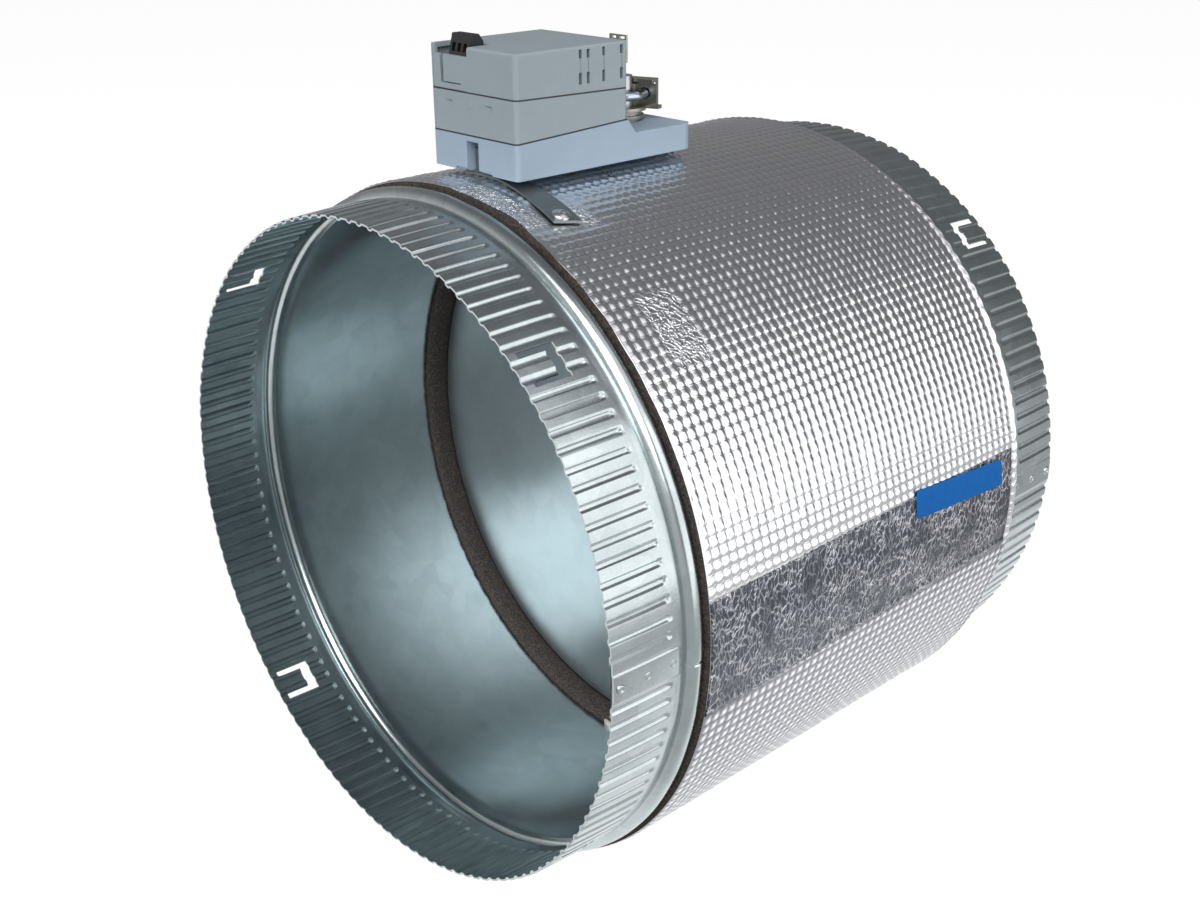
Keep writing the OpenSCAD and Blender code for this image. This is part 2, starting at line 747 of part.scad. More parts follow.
module latch_cut() {
    y0 = -spigot_length + latch_from_rim;
    translate([0, 0, groove_r - sheet - rib_depth])
        linear_extrude(sheet * many + rib_depth * many) difference() {
        translate([-latch_width * half, y0]) square([latch_width, latch_length]);
        translate([-latch_width * half + latch_leg, y0 - eps_cut])
            square([latch_width - latch_leg - latch_leg, latch_length - latch_base + eps_cut]);
    }
}

module strap_screw_hole() {
    at_angle(strap_screw_angle) translate([0, strap_screw_y, inner_r - foam_thickness])
        cylinder(r = strap_screw_radius, h = far * half - inner_r * half);
}

module duct_casing() {
    color([0.60, 0.65, 0.67]) difference() {
        union() {
            along_duct() rotate_extrude() casing_section();
            both_ends() {
                ribbed_end();
                shell_piece(crest_r - sheet * half, crest_r + seam_lap, -spigot_length,
                    -plain_band - sheet * half * half, seam_angle, seam_width);
                at_angle(seam_angle) for (s = clinch_shares)
                    translate([0, -spigot_length + s * rib_length, crest_r - seam_lap * half])
                        cylinder(r = clinch_radius, h = seam_lap * half + seam_lap + clinch_height);
            }
        }
        both_ends() for (k = [0:latch_count - 1])
            at_angle(latch_angle + k * full_turn / latch_count) latch_cut();
        translate([0, shaft_y, -duct_diameter]) cylinder(r = bush_radius, h = duct_diameter * 2);
        strap_screw_hole();
    }
}

module insulation_foam() {
    color([0.24, 0.20, 0.17]) difference() {
        shell(duct_r, foam_r, foam_start, foam_end);
        translate([0, shaft_y, -duct_diameter]) cylinder(r = foam_hole_radius, h = duct_diameter * 2);
        strap_screw_hole();
    }
}

module foil_facing() {
    color([0.80, 0.81, 0.84]) difference() {
        union() {
            shell(foam_r, foil_r, foil_start, foil_end);
            along_duct() rotate_extrude() polygon([
                [foam_r, foil_end], [foil_r, foil_end],
                [foil_r - foil_roll_drop, foil_end + foil_roll], [foam_r - foil_roll_drop, foil_end + foil_roll]
            ]);
        }
        translate([0, shaft_y, 0]) cylinder(r = foam_hole_radius, h = duct_diameter);
        strap_screw_hole();
    }
}

module foil_tape() {
    color([0.72, 0.73, 0.76])
        shell_piece(foil_r, tape_r, foil_start + tape_end_gap, foil_end - tape_end_gap, tape_angle, tape_width);
}

module size_label() {
    color([0.05, 0.42, 0.72])
        shell_piece(tape_r, label_r, label_start, label_start + label_length, label_angle, label_width);
}

module wall_gasket() {
    color([0.28, 0.24, 0.22]) difference() {
        shell(gasket_radius, inner_r, gasket_start, gasket_start + gasket_width);
        translate([0, shaft_y, -duct_diameter])
            cylinder(r = bush_flange_radius + bush_flange_clearance, h = duct_diameter * 2);
    }
}

module bush() {
    translate([0, shaft_y, 0]) difference() {
        union() {
            translate([0, 0, bush_low - bush_nose])
                cylinder(r = bush_radius, h = bush_top - bush_low + bush_nose);
            intersection() {
                translate([0, 0, bush_low]) cylinder(r = bush_flange_radius, h = bush_inner_flange);
                bar_y(inner_r, -duct_r * half, duct_r * half);
            }
            difference() {
                translate([0, 0, inner_r]) cylinder(r = bush_flange_radius, h = bush_top - inner_r);
                bar_y(duct_r, -duct_r * half, duct_r * half);
            }
        }
        cylinder(r = shaft_radius + shaft_play, h = duct_diameter);
    }
}

module shaft_bushes() { color([0.85, 0.84, 0.80]) top_and_bottom() bush(); }

module blade_bolt_holes() {
    for (s = blade_bolt_shares) translate([0, 0, s * disc_radius])
        bar_y(blade_bolt_radius, shaft_y - duct_r * half, shaft_y + duct_r * half);
}

module rivet_holes() {
    for (x = [-rivet_side, rivet_side]) for (s = rivet_shares) translate([x, 0, s * disc_radius])
        bar_y(rivet_radius, shaft_y - duct_r * half, shaft_y + duct_r * half);
}

module blade_front_disc() {
    color([0.52, 0.60, 0.63]) difference() {
        intersection() {
            bar_y(disc_radius, shaft_y - channel_r - disc_sheet, seal_front);
            union() {
                block([-disc_radius, front_face, -disc_radius], [disc_radius, seal_front, disc_radius]);
                block([-channel_r, shaft_y, -disc_radius], [channel_r, seal_front, disc_radius]);
                translate([0, shaft_y, -disc_radius]) cylinder(r = channel_r, h = disc_radius * 2);
            }
        }
        translate([0, shaft_y, -duct_diameter]) cylinder(r = shaft_radius, h = duct_diameter * 2);
        block([-shaft_radius, shaft_y, -duct_r], [shaft_radius, seal_front + eps_cut, duct_r]);
        rivet_holes();
        blade_bolt_holes();
    }
}

module blade_rear_disc() {
    color([0.52, 0.60, 0.63]) difference() {
        bar_y(disc_radius, rear_disc, blade_rear);
        rivet_holes();
        blade_bolt_holes();
    }
}

module blade_seal() {
    color([0.06, 0.06, 0.07]) difference() {
        bar_y(seal_radius, seal_front, rear_disc);
        translate([0, shaft_y, -duct_diameter]) cylinder(r = shaft_radius, h = duct_diameter * 2);
        rivet_holes();
        blade_bolt_holes();
    }
}

module blade_rivets() {
    color([0.70, 0.71, 0.72]) for (x = [-rivet_side, rivet_side]) for (s = rivet_shares)
        translate([x, 0, s * disc_radius]) {
            bar_y(rivet_radius, front_face, blade_rear);
            bar_y(rivet_head_radius, front_face - rivet_head_height, front_face);
            bar_y(rivet_head_radius, blade_rear, blade_rear + rivet_head_height);
        }
}

module blade_bolts() {
    crest = shaft_y - channel_r;
    color([0.66, 0.67, 0.70]) for (s = blade_bolt_shares) translate([0, 0, s * disc_radius]) {
        bar_y(blade_bolt_radius, crest, blade_rear + blade_nut_height + blade_thread_end);
        translate([0, crest - blade_head_height, 0]) along_duct()
            cylinder(r = blade_hex_radius, h = blade_head_height, $fn = hex);
    }
}

module blade_nuts() {
    color([0.66, 0.67, 0.70]) for (s = blade_bolt_shares) translate([0, 0, s * disc_radius]) difference() {
        translate([0, blade_rear, 0]) along_duct()
            cylinder(r = blade_hex_radius, h = blade_nut_height, $fn = hex);
        bar_y(blade_bolt_radius, shaft_y, blade_rear + blade_nut_height * 2);
    }
}

groove_z = -bush_top - clip_distance - clip_groove_width;

module damper_shaft() {
    color([0.62, 0.63, 0.65]) difference() {
        translate([0, shaft_y, -shaft_bottom]) cylinder(r = shaft_radius, h = shaft_bottom + shaft_top);
        translate([0, shaft_y, groove_z]) difference() {
            cylinder(r = shaft_radius * 2, h = clip_groove_width);
            cylinder(r = clip_groove_radius, h = clip_groove_width);
        }
        blade_bolt_holes();
    }
}

module retaining_clip() {
    color([0.35, 0.36, 0.38]) translate([0, shaft_y, groove_z + (clip_groove_width - clip_thickness) * half])
        difference() {
            cylinder(r = clip_radius, h = clip_thickness);
            cylinder(r = clip_groove_radius, h = clip_thickness);
            block([0, -clip_mouth * half, 0], [clip_radius * 2, clip_mouth * half, clip_thickness]);
        }
}

strap_tip_x = strap_r * sin(strap_tip_angle);
strap_lean = strap_tip_slant * half;

module anti_rotation_strap() {
    color([0.30, 0.31, 0.31]) difference() {
        union() {
            intersection() {
                shell(foil_r, strap_r, strap_tip_front - sheet, strap_root_rear + sheet);
                translate([0, 0, foil_r * half]) linear_extrude(foil_r) polygon([
                    [-strap_seat_half, strap_root_front], [strap_seat_half, strap_root_front],
                    [strap_tip_x - strap_lean, strap_tip_front], [strap_tip_x + strap_lean, strap_tip_rear],
                    [strap_seat_half, strap_root_rear], [-strap_seat_half, strap_root_rear]
                ]);
            }
            difference() {
                union() {
                    block([strap_seat - strap_seat_half, strap_root_front + strap_seat, foil_r - strap_thickness],
                        [strap_seat_half - strap_seat, strap_root_rear - strap_seat, box_bottom]);
                    block([slot_left + tongue_play, box_front + tongue_setback, foil_r - strap_thickness],
                        [slot_right - tongue_play, box_front + tongue_setback + tongue_thickness, tongue_top]);
                }
                bar_y(foil_r + strap_thickness * half, 0, shaft_y);
            }
        }
        strap_screw_hole();
    }
}

module cross_recess(top) {
    translate([0, 0, top - cross_depth]) {
        translate([-cross_span * half, -cross_width * half, 0]) cube([cross_span, cross_width, cross_depth * 2]);
        translate([-cross_width * half, -cross_span * half, 0]) cube([cross_width, cross_span, cross_depth * 2]);
    }
}

module strap_screw() {
    // The head is a slice of a ball over a straight rim
    dome = strap_head_height - strap_head_rim;
    ball = (strap_head_radius * strap_head_radius + dome * dome) / dome * half;
    low = inner_r - strap_screw_inside;
    color([0.78, 0.79, 0.80]) at_angle(strap_screw_angle)
        translate([0, strap_screw_y, 0]) difference() {
            union() {
                translate([0, 0, low]) cylinder(r = strap_screw_radius, h = strap_r + strap_head_rim - low);
                translate([0, 0, strap_r]) intersection() {
                    cylinder(r = strap_head_radius, h = strap_head_height);
                    translate([0, 0, strap_head_height - ball]) sphere(r = ball);
                }
            }
            cross_recess(strap_r + strap_head_height);
        }
}

module box_plan(x_in, y0, y1, r_low, r_high, z0, z1) {
    translate([0, 0, z0]) linear_extrude(z1 - z0)
        rounded([box_x0 + x_in, y0], [box_x1 - x_in, y1], r_low, r_high);
}

module base_outline() {
    polygon([
        [box_front, box_bottom], [box_rear, box_bottom],
        [box_rear, deck_z - deck_edge], [box_rear - deck_edge, deck_z],
        [tower_rear + deck_slope, deck_z], [tower_rear, base_z1], [box_front, base_z0]
    ]);
}

module base_hollow() {
    polygon([
        [box_front, floor_z], [box_rear, floor_z], [box_rear, deck_in_z],
        [tower_rear + deck_slope - wall * half, deck_in_z], [tower_rear - wall, base_z1 - wall * half],
        [tower_rear - wall, box_top], [box_front, box_top]
    ]);
}

module at_posts() { for (x = [-post_x, post_x]) for (y = post_places) translate([x, y, 0]) children(); }
module at_axles() { for (y = [axle_1_y, axle_2_y]) translate([0, y, 0]) children(); }

module actuator_base() {
    color([0.62, 0.69, 0.75]) difference() {
        union() {
            difference() {
                intersection() {
                    box_plan(0, box_front, box_rear, corner_radius, deck_corner_radius, box_bottom, box_top);
                    across(box_x0, box_x1) base_outline();
                }
                intersection() {
                    box_plan(wall, box_front + wall, box_rear - wall, corner_radius - wall * half,
                        deck_corner_radius - wall, box_bottom, box_top);
                    across(box_x0, box_x1) base_hollow();
                }
            }
            block([slot_left - wall, box_front + wall * half, box_bottom + wall * half],
                [slot_right + wall, box_front + slot_depth + wall, box_bottom + slot_height + wall]);
            at_posts() translate([0, 0, box_bottom + wall * half])
                cylinder(r = post_radius, h = plate_height - wall * half);
            at_axles() translate([0, 0, box_bottom + wall * half])
                cylinder(r = gear_collar_radius, h = gear_low - boss_gap - wall * half);
        }
        block([slot_left, box_front - wall, box_bottom - wall],
            [slot_right, box_front + slot_depth, box_bottom + slot_height]);
        block([foot_cut_left, box_front - wall, box_bottom - wall],
            [foot_cut_left + foot_cut_length, box_front + wall, box_bottom + foot_cut_height]);
        at_posts() {
            translate([0, 0, box_bottom - wall])
                cylinder(r = housing_screw_radius, h = plate_height + wall * 2);
            translate([0, 0, box_bottom - wall]) cylinder(r = housing_head_radius + housing_head_clearance,
                h = wall + housing_head_sink + housing_head_height);
        }
        at_axles() translate([0, 0, floor_z]) cylinder(r = axle_radius, h = deck_height - wall - wall);
        translate([0, shaft_y, box_bottom - wall]) cylinder(r = sleeve_radius + running_play, h = wall * many);
        translate([0, shaft_y, deck_in_z - wall]) cylinder(r = neck_radius + running_play, h = wall * many);
    }
}

module actuator_middle_housing() {
    color([0.57, 0.61, 0.64]) difference() {
        union() {
            intersection() {
                box_plan(0, box_front, tower_rear, corner_radius, corner_radius, box_bottom, box_top);
                across(box_x0, box_x1) polygon([
                    [box_front, base_z0], [tower_rear, base_z1], [tower_rear, middle_z1], [box_front, middle_z0]
                ]);
            }
            translate([nub_x - nub_size[0] * half, box_front - nub_size[1],
                box_bottom + nub_height - nub_size[2] * half])
                cube([nub_size[0], nub_size[1] + wall * half, nub_size[2]]);
        }
        box_plan(wall, box_front + wall, tower_rear - wall, corner_radius - wall * half,
            corner_radius - wall * half, box_bottom, box_top);
        // Each pocket is a ramp that ends at a small cliff
        for (x = pry_places) translate([x, 0, box_bottom + pry_height - pry_tall * half])
            linear_extrude(pry_tall) polygon([
                [-pry_width, box_front], [-pry_width * half, box_front - wall],
                [0, box_front - wall], [0, box_front + pry_depth]
            ]);
    }
}

module cover_side() {
    polygon([[box_front, middle_z0], [tower_rear, middle_z1], [tower_rear, box_top - top_edge_radius],
        [box_front, box_top - top_edge_radius]]);
    translate([box_front, box_top - top_edge_radius * 2])
        rounded([0, 0], [tower_length, top_edge_radius * 2], top_edge_radius * half, top_edge_radius);
}

module tie_cuts() {
    for (s = tie_shares) translate([0, box_front + s * tower_length - tie_width * half, box_bottom]) {
        for (side = [box_x0 - wall * half, box_x1 - wall - wall * half]) {
            translate([side, 0, tie_low]) cube([wall * 2, tie_width, tie_tall]);
            translate([side, 0, tie_high]) cube([wall * 2, tie_width, tie_high_tall]);
        }
        for (side = [box_x0 - wall + tie_groove, box_x1 - tie_groove])
            translate([side, tie_width * half * half, tie_low])
                cube([wall, tie_width * half, tie_high - tie_low]);
    }
}

module actuator_cover() {
    color([0.57, 0.61, 0.64]) difference() {
        intersection() {
            box_plan(0, box_front, tower_rear, corner_radius, corner_radius, box_bottom, box_top);
            across(box_x0, box_x1) cover_side();
            translate([0, box_rear, box_bottom]) rotate([quarter_turn, 0, 0]) linear_extrude(box_rear)
                rounded([box_x0, 0], [box_x1, box_height], top_edge_radius, top_edge_radius);
        }
        box_plan(wall, box_front + wall, tower_rear - wall, corner_radius - wall * half,
            corner_radius - wall * half, box_bottom, box_top - cover_top);
        block([recess_left, box_front - wall, box_bottom + recess_sill],
            [recess_right, box_front + recess_length, box_top + wall]);
        block([box_x0 + corner_radius, box_front - wall, box_bottom],
            [panel_right, box_front + panel_step, box_top + wall]);
        block([gap_left, box_front - wall, box_bottom + panel_low],
            [gap_left + gap_width, box_front + wall * 2, box_bottom + recess_sill + wall]);
        block([gap_left, box_front - wall, box_bottom + panel_low],
            [slit_right, box_front + wall * 2, box_bottom + panel_low + slit_height]);
        tie_cuts();
    }
}

module rear_clip() {
    over = box_top + clip_plate_over;
    color([0.45, 0.45, 0.36]) difference() {
        block([clip_plate_left, tower_rear, box_top - clip_plate_under],
            [clip_plate_left + clip_plate_width, tower_rear + clip_plate_thickness, over]);
        for (s = clip_window_shares)
            block([clip_plate_left + s[0] * clip_plate_width, tower_rear - wall, box_top],
                [clip_plate_left + s[1] * clip_plate_width, tower_rear + wall * 2, over - clip_plate_rim]);
    }
}

module gear_plate() {
    color([0.66, 0.67, 0.69]) difference() {
        block([-plate_half, box_front + plate_setback, plate_z],
            [plate_half, tower_rear - wall - plate_rear_gap, plate_top_z]);
        at_posts() translate([0, 0, plate_z - wall]) cylinder(r = housing_screw_radius, h = wall * many);
        translate([0, motor_y, plate_z - wall])
            cylinder(r = motor_shaft_radius + motor_shaft_clearance, h = wall * many);
    }
}

module housing_screws() {
    head_z = box_bottom + housing_head_sink;
    color([0.55, 0.56, 0.58]) at_posts() difference() {
        union() {
            translate([0, 0, head_z]) cylinder(r = housing_head_radius, h = housing_head_height);
            translate([0, 0, head_z])
                cylinder(r = housing_screw_radius, h = plate_top_z + housing_screw_over - head_z);
        }
        translate([0, 0, head_z - cross_depth * half]) {
            translate([-housing_screw_radius, -cross_width * half * half, 0])
                cube([housing_screw_radius * 2, cross_width * half, cross_depth]);
            translate([-cross_width * half * half, -housing_screw_radius, 0])
                cube([cross_width * half, housing_screw_radius * 2, cross_depth]);
        }
    }
}

module gear_axles() {
    color([0.70, 0.71, 0.73]) {
        translate([0, axle_1_y, floor_z]) cylinder(r = axle_radius, h = deck_in_z - floor_z);
        translate([0, axle_2_y, floor_z]) cylinder(r = axle_radius, h = plate_z - floor_z);
    }
}

module board_standoffs() {
    color([0.72, 0.60, 0.30]) for (x = [-standoff_x, standoff_x]) for (s = standoff_shares)
        translate([x, board_front + s * board_length, plate_top_z])
            cylinder(r = standoff_radius, h = board_z - plate_top_z, $fn = hex);
}

module circuit_board() {
    color([0.10, 0.32, 0.18]) block([-board_half, board_front, board_z],
        [board_half, board_front + board_length, board_top_z]);
}

module motor_body() {
    color([0.50, 0.51, 0.53]) translate([0, motor_y, plate_top_z]) difference() {
        union() {
            cylinder(r = motor_radius, h = motor_length);
            translate([0, 0, motor_length]) cylinder(r = motor_cap_radius, h = motor_cap_height);
        }
        cylinder(r = motor_shaft_radius + running_play, h = motor_shaft_inside);
    }
}

function involute(rb, r) = let (a = acos(min(1, rb / r))) tan(a) * half_turn / PI - a;
function tooth_half(n, m, r) =
    let (rp = m * n * half, rb = rp * cos(pressure_angle))
        quarter_turn / n - tooth_play * half / rp * half_turn / PI * half
            + involute(rb, rp) - involute(rb, max(r, rb));

function gear_outline(n, m, turn) =
    let (
        rp = m * n * half,
        ra = rp + addendum_share * m,
        rf = rp - dedendum_share * m,
        rs = max(rf, rp * cos(pressure_angle)),
        radii = [for (s = flank_shares) rs + s * (ra - rs)],
        last = len(radii) - 1
    )
    [for (i = [0:n - 1]) let (a = turn + i * full_turn / n) each concat(
        [polar(rf, a - tooth_half(n, m, rs))],
        [for (k = [0:last]) polar(radii[k], a - tooth_half(n, m, radii[k]))],
        [for (k = [0:last]) polar(radii[last - k], a + tooth_half(n, m, radii[last - k]))],
        [polar(rf, a + tooth_half(n, m, rs))]
    )];

module gear(n, m, turn, z0, z1) {
    translate([0, 0, z0]) linear_extrude(z1 - z0) polygon(gear_outline(n, m, turn));
}

// A tooth of each larger gear points at the next axle, and a gap of the smaller gear faces it
toward_front = -quarter_turn;
function gap_at(n, a) = a + half_turn / n;

module output_gear() {
    color([0.86, 0.84, 0.76]) translate([0, shaft_y, 0]) difference() {
        gear(teeth_output, module_a, toward_front, gear_z, gear_z + output_gear_width);
        translate([0, 0, gear_z - wall]) cylinder(r = sleeve_radius, h = output_gear_width + wall * 2);
    }
}

module reduction_gear_1() {
    color([0.86, 0.84, 0.76]) translate([0, axle_1_y, 0]) difference() {
        union() {
            gear(teeth_small_a, module_a, gap_at(teeth_small_a, quarter_turn),
                gear_z, gear_z + output_gear_width);
            translate([0, 0, gear_z]) cylinder(r = gear_collar_radius, h = large_b_z - gear_z);
            gear(teeth_large_b, module_b, toward_front, large_b_z, large_b_z + large_b_width);
        }
        translate([0, 0, box_bottom]) cylinder(r = axle_radius + running_play, h = deck_height);
    }
}

module reduction_gear_2() {
    color([0.86, 0.84, 0.76]) translate([0, axle_2_y, 0]) difference() {
        union() {
            gear(teeth_large_c, module_c, toward_front, gear_z, gear_z + gear_c_width);
            translate([0, 0, gear_z]) cylinder(r = gear_collar_radius, h = small_b_z - gear_z);
            gear(teeth_small_b, module_b, gap_at(teeth_small_b, quarter_turn),
                small_b_z, small_b_z + small_b_width);
        }
        translate([0, 0, box_bottom]) cylinder(r = axle_radius + running_play, h = deck_height);
    }
}

module motor_pinion() {
    color([0.72, 0.62, 0.34]) translate([0, motor_y, 0]) {
        gear(teeth_pinion, module_c, gap_at(teeth_pinion, quarter_turn), gear_z, gear_z + gear_c_width);
        translate([0, 0, gear_z])
            cylinder(r = motor_shaft_radius, h = plate_top_z + motor_shaft_inside - boss_gap - gear_z);
    }
}

module output_hub() {
    color([0.58, 0.59, 0.60]) translate([0, shaft_y, 0]) difference() {
        union() {
            translate([0, 0, box_bottom + sleeve_low]) cylinder(r = sleeve_radius, h = hub_top - sleeve_low);
            translate([0, 0, box_bottom + neck_low]) cylinder(r = neck_radius, h = hub_top - neck_low);
            translate([0, 0, box_bottom + ring_low]) cylinder(r = ring_radius, h = ring_thickness);
        }
        translate([0, 0, box_bottom]) cylinder(r = shaft_radius, h = hub_top * 2);
    }
}

module turned_clamp() {
    translate([0, shaft_y, 0]) rotate([0, 0, clamp_turn]) translate([0, -shaft_y, 0]) children();
}

module clamp_bracket() {
    color([0.44, 0.46, 0.40]) turned_clamp() difference() {
        union() {
            translate([0, shaft_y, hub_z]) cylinder(r = bracket_round, h = bracket_floor);
            block([-bracket_floor_half, bracket_y - floor_front, hub_z],
                [bracket_floor_half, bracket_y + bracket_sheet + floor_behind, hub_z + bracket_floor]);
            block([-bracket_half, bracket_y, hub_z], [bracket_half, bracket_y + bracket_sheet, bracket_top]);
            block([-bracket_half, bracket_y - bracket_lip, bracket_top - bracket_floor],
                [bracket_half, bracket_y + bracket_sheet * half, bracket_top]);
        }
        translate([0, shaft_y, hub_z - wall]) cylinder(r = shaft_radius, h = bracket_height - bracket_floor);
        translate([0, shaft_y, bracket_top - bracket_floor * 2])
            cylinder(r = shaft_radius + lip_clearance, h = bracket_floor * many);
        for (x = [-ubolt_side, ubolt_side]) translate([x, 0, ubolt_z])
            bar_y(ubolt_radius + ubolt_clearance, shaft_y, bracket_y + bracket_sheet * 2);
        for (x = [-bracket_half + relief_edge, bracket_half - relief_edge - relief_width])
            block([x, bracket_y - bracket_sheet, bracket_top - bracket_floor - relief_height],
                [x + relief_width, bracket_y + bracket_sheet * 2, bracket_top - bracket_floor]);
    }
}

module clamp_ubolt() {
    color([0.66, 0.69, 0.78]) turned_clamp() translate([0, 0, ubolt_z]) {
        for (x = [-ubolt_side, ubolt_side]) translate([x, 0, 0])
            bar_y(ubolt_radius, ubolt_bend_y, bracket_y + bracket_sheet + ubolt_behind);
        translate([0, ubolt_bend_y, 0]) rotate([0, 0, half_turn])
            rotate_extrude(angle = half_turn) translate([ubolt_side, 0]) circle(r = ubolt_radius);
    }
}

module clamp_washers() {
    y0 = bracket_y + bracket_sheet;
    color([0.72, 0.73, 0.75]) turned_clamp() for (x = [-ubolt_side, ubolt_side]) translate([x, 0, ubolt_z])
        shell(ubolt_radius, min(washer_radius, ubolt_side), y0, y0 + washer_thickness);
}

module clamp_nuts() {
    y0 = bracket_y + bracket_sheet + washer_thickness;
    color([0.70, 0.71, 0.74]) turned_clamp() for (x = [-ubolt_side, ubolt_side]) translate([x, 0, ubolt_z])
        difference() {
            translate([0, y0, 0]) along_duct() cylinder(r = nut_radius, h = nut_height, $fn = hex);
            bar_y(ubolt_radius, shaft_y, y0 + nut_height * 2);
        }
}

module clamp_jaw() {
    // The notch's two faces touch the shaft
    notch = shaft_radius * 2;
    color([0.50, 0.51, 0.50]) turned_clamp() difference() {
        block([-jaw_half, bracket_y - jaw_thickness, hub_z + bracket_floor],
            [jaw_half, bracket_y, hub_z + bracket_floor + jaw_height]);
        translate([0, shaft_y, hub_z]) rotate([0, 0, quarter_turn * half])
            translate([-shaft_radius, -shaft_radius, 0]) cube([notch, notch, bracket_height * 2]);
    }
}

module block_outline() {
    polygon([
        [box_front + block_places[0], board_top_z],
        [box_front + block_places[0], box_top - block_kink_under],
        [box_front + block_places[1], box_bottom + block_top],
        [box_front + block_places[2], box_bottom + block_top],
        [box_front + block_places[3], box_top + block_kink_over],
        [box_front + block_places[3], board_top_z]
    ]);
}

block_mid_y = box_front + (block_places[1] + block_places[2]) * half;

module terminal_block() {
    color([0.08, 0.08, 0.09]) difference() {
        across(block_left, block_left + block_width) block_outline();
        for (s = mouth_shares) {
            translate([block_left + s * block_width - mouth_width * half, box_front, box_top - mouth_under])
                cube([mouth_width, block_places[0] + mouth_depth, mouth_tall]);
            translate([block_left + s * block_width, block_mid_y, box_bottom + block_top - terminal_screw_depth])
                cylinder(r = terminal_screw_radius, h = terminal_screw_depth * 2);
        }
    }
}

module terminal_screws() {
    height = terminal_screw_depth - terminal_screw_sink;
    color([0.74, 0.74, 0.72]) for (s = mouth_shares)
        translate([block_left + s * block_width, block_mid_y, box_bottom + block_top - terminal_screw_depth])
            difference() {
                cylinder(r = terminal_screw_radius, h = height);
                translate([-terminal_screw_radius, -terminal_slit * half, height - terminal_slit])
                    cube([terminal_screw_radius * 2, terminal_slit, terminal_slit * 2]);
            }
}

duct_casing();
insulation_foam();
foil_facing();
foil_tape();
size_label();
wall_gasket();
shaft_bushes();
anti_rotation_strap();
strap_screw();
actuator_base();
actuator_middle_housing();
actuator_cover();
rear_clip();
terminal_block();
terminal_screws();
circuit_board();
board_standoffs();
gear_plate();
gear_axles();
motor_body();
housing_screws();
damper_shaft();
blade_front_disc();
blade_rear_disc();
blade_seal();
blade_rivets();
blade_bolts();
blade_nuts();
retaining_clip();
output_hub();
output_gear();
clamp_bracket();
clamp_ubolt();
clamp_jaw();
clamp_washers();
clamp_nuts();
reduction_gear_1();
reduction_gear_2();
motor_pinion();
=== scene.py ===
import math

import bmesh
import bpy
import numpy as np
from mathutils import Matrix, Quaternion, Vector


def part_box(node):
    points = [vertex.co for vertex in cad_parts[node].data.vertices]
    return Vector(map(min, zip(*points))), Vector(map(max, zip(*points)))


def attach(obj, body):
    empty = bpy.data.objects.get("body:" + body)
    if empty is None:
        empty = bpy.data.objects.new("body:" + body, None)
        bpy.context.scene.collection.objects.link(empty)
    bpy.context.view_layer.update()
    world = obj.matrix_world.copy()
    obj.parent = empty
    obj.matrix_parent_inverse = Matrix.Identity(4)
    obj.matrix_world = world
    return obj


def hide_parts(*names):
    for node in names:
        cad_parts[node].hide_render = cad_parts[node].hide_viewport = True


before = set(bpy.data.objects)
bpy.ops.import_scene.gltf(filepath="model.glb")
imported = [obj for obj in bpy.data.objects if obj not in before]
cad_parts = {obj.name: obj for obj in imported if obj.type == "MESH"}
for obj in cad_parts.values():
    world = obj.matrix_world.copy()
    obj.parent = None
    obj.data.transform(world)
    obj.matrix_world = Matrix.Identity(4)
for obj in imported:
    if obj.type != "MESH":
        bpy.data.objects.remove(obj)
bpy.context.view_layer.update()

# Sizes are in millimetres and angles in degrees. The duct runs along Y, and a direction round it is counted
# from the actuator, which stands up in +Z, towards the right side, +X.
MM = 0.001

# Camera, as solved from the photograph's circles
CAMERA_AT = (561.99, -410.69, 336.08)
CAMERA_AIM = (89.76, 29.50, 65.46)
CAMERA_ROLL = -0.4026
FOCAL_PX = 1468.76
IMAGE_WIDTH_PX = 1200
SENSOR = 36.0

# Duct wall. The rear half mirrors the front half
DUCT_R = 175.0
SHEET = 0.9
RIM = -42.0
BODY_LENGTH = 260.0
MID = BODY_LENGTH / 2
BEAD = 10.0
BEAD_ROLL = BEAD / 2
BEAD_SINK = 0.25 * SHEET

# Crimped ribs
RIM_R = 173.6
RIB_END = -4.5
RIB_DEPTH = 1.05
RIB_FADE = 2.6
RIBS = 130
COLUMNS_PER_RIB = 16

# Lock seam: its direction, half its width, its lap and its clinch marks
SEAM_AT = 90.0
SEAM_HALF = 2.3
SEAM_LAP = 0.32
BUTTON_PLACES = (-38.0, -22.0, -7.0)
BUTTON_SIDES = 24
# Radius and height of a clinch mark's rings
BUTTON_RINGS = ((0.5, 0.1), (0.95, 0.32), (1.3, 0.62), (1.65, 0.72), (2.0, 0.55), (2.3, 0.15), (2.5, -0.5))

# U-shaped latches punched in the spigots
LATCH_ANGLES = (42.0, 132.0, 222.0, 312.0)
LATCH_HALF = 9.0
LATCH_TONGUE_HALF = 5.8
LATCH_ROWS = (-37.5, -23.0, -17.0)

# Foam blanket
FOAM_R = 182.0
FOAM_START = 10.1
FOAM_END = 249.1
FOAM_EDGE_R = 181.0
FOAM_TOP_R = 180.8

# Foil facing: the quilt's grooves, the height of its pillows and its folded rear edge
FOIL_LOW_R = 181.45
FOIL_PUFF = 0.85
FOIL_START = 10.4
FOIL_STRAIGHT_END = 250.4
FOIL_END = 256.8
FOIL_DRAWN_IN = 1.55
FOIL_THICKNESS = 0.35
CELLS_ROUND = 207
CELL_LENGTH = 5.43
# Places of the mesh's rows and columns in a cell
CELL_PLACES = (0.035, 0.17, 0.34, 0.5, 0.66, 0.83, 0.965)
# Places where the facing is wrinkled: angle, half its width in degrees, place along the duct, half its length
WRINKLED = ((43.2, 5.0, 43.0, 9.0), (11.0, 8.0, 17.0, 6.0), (19.5, 1.6, 46.0, 3.0))

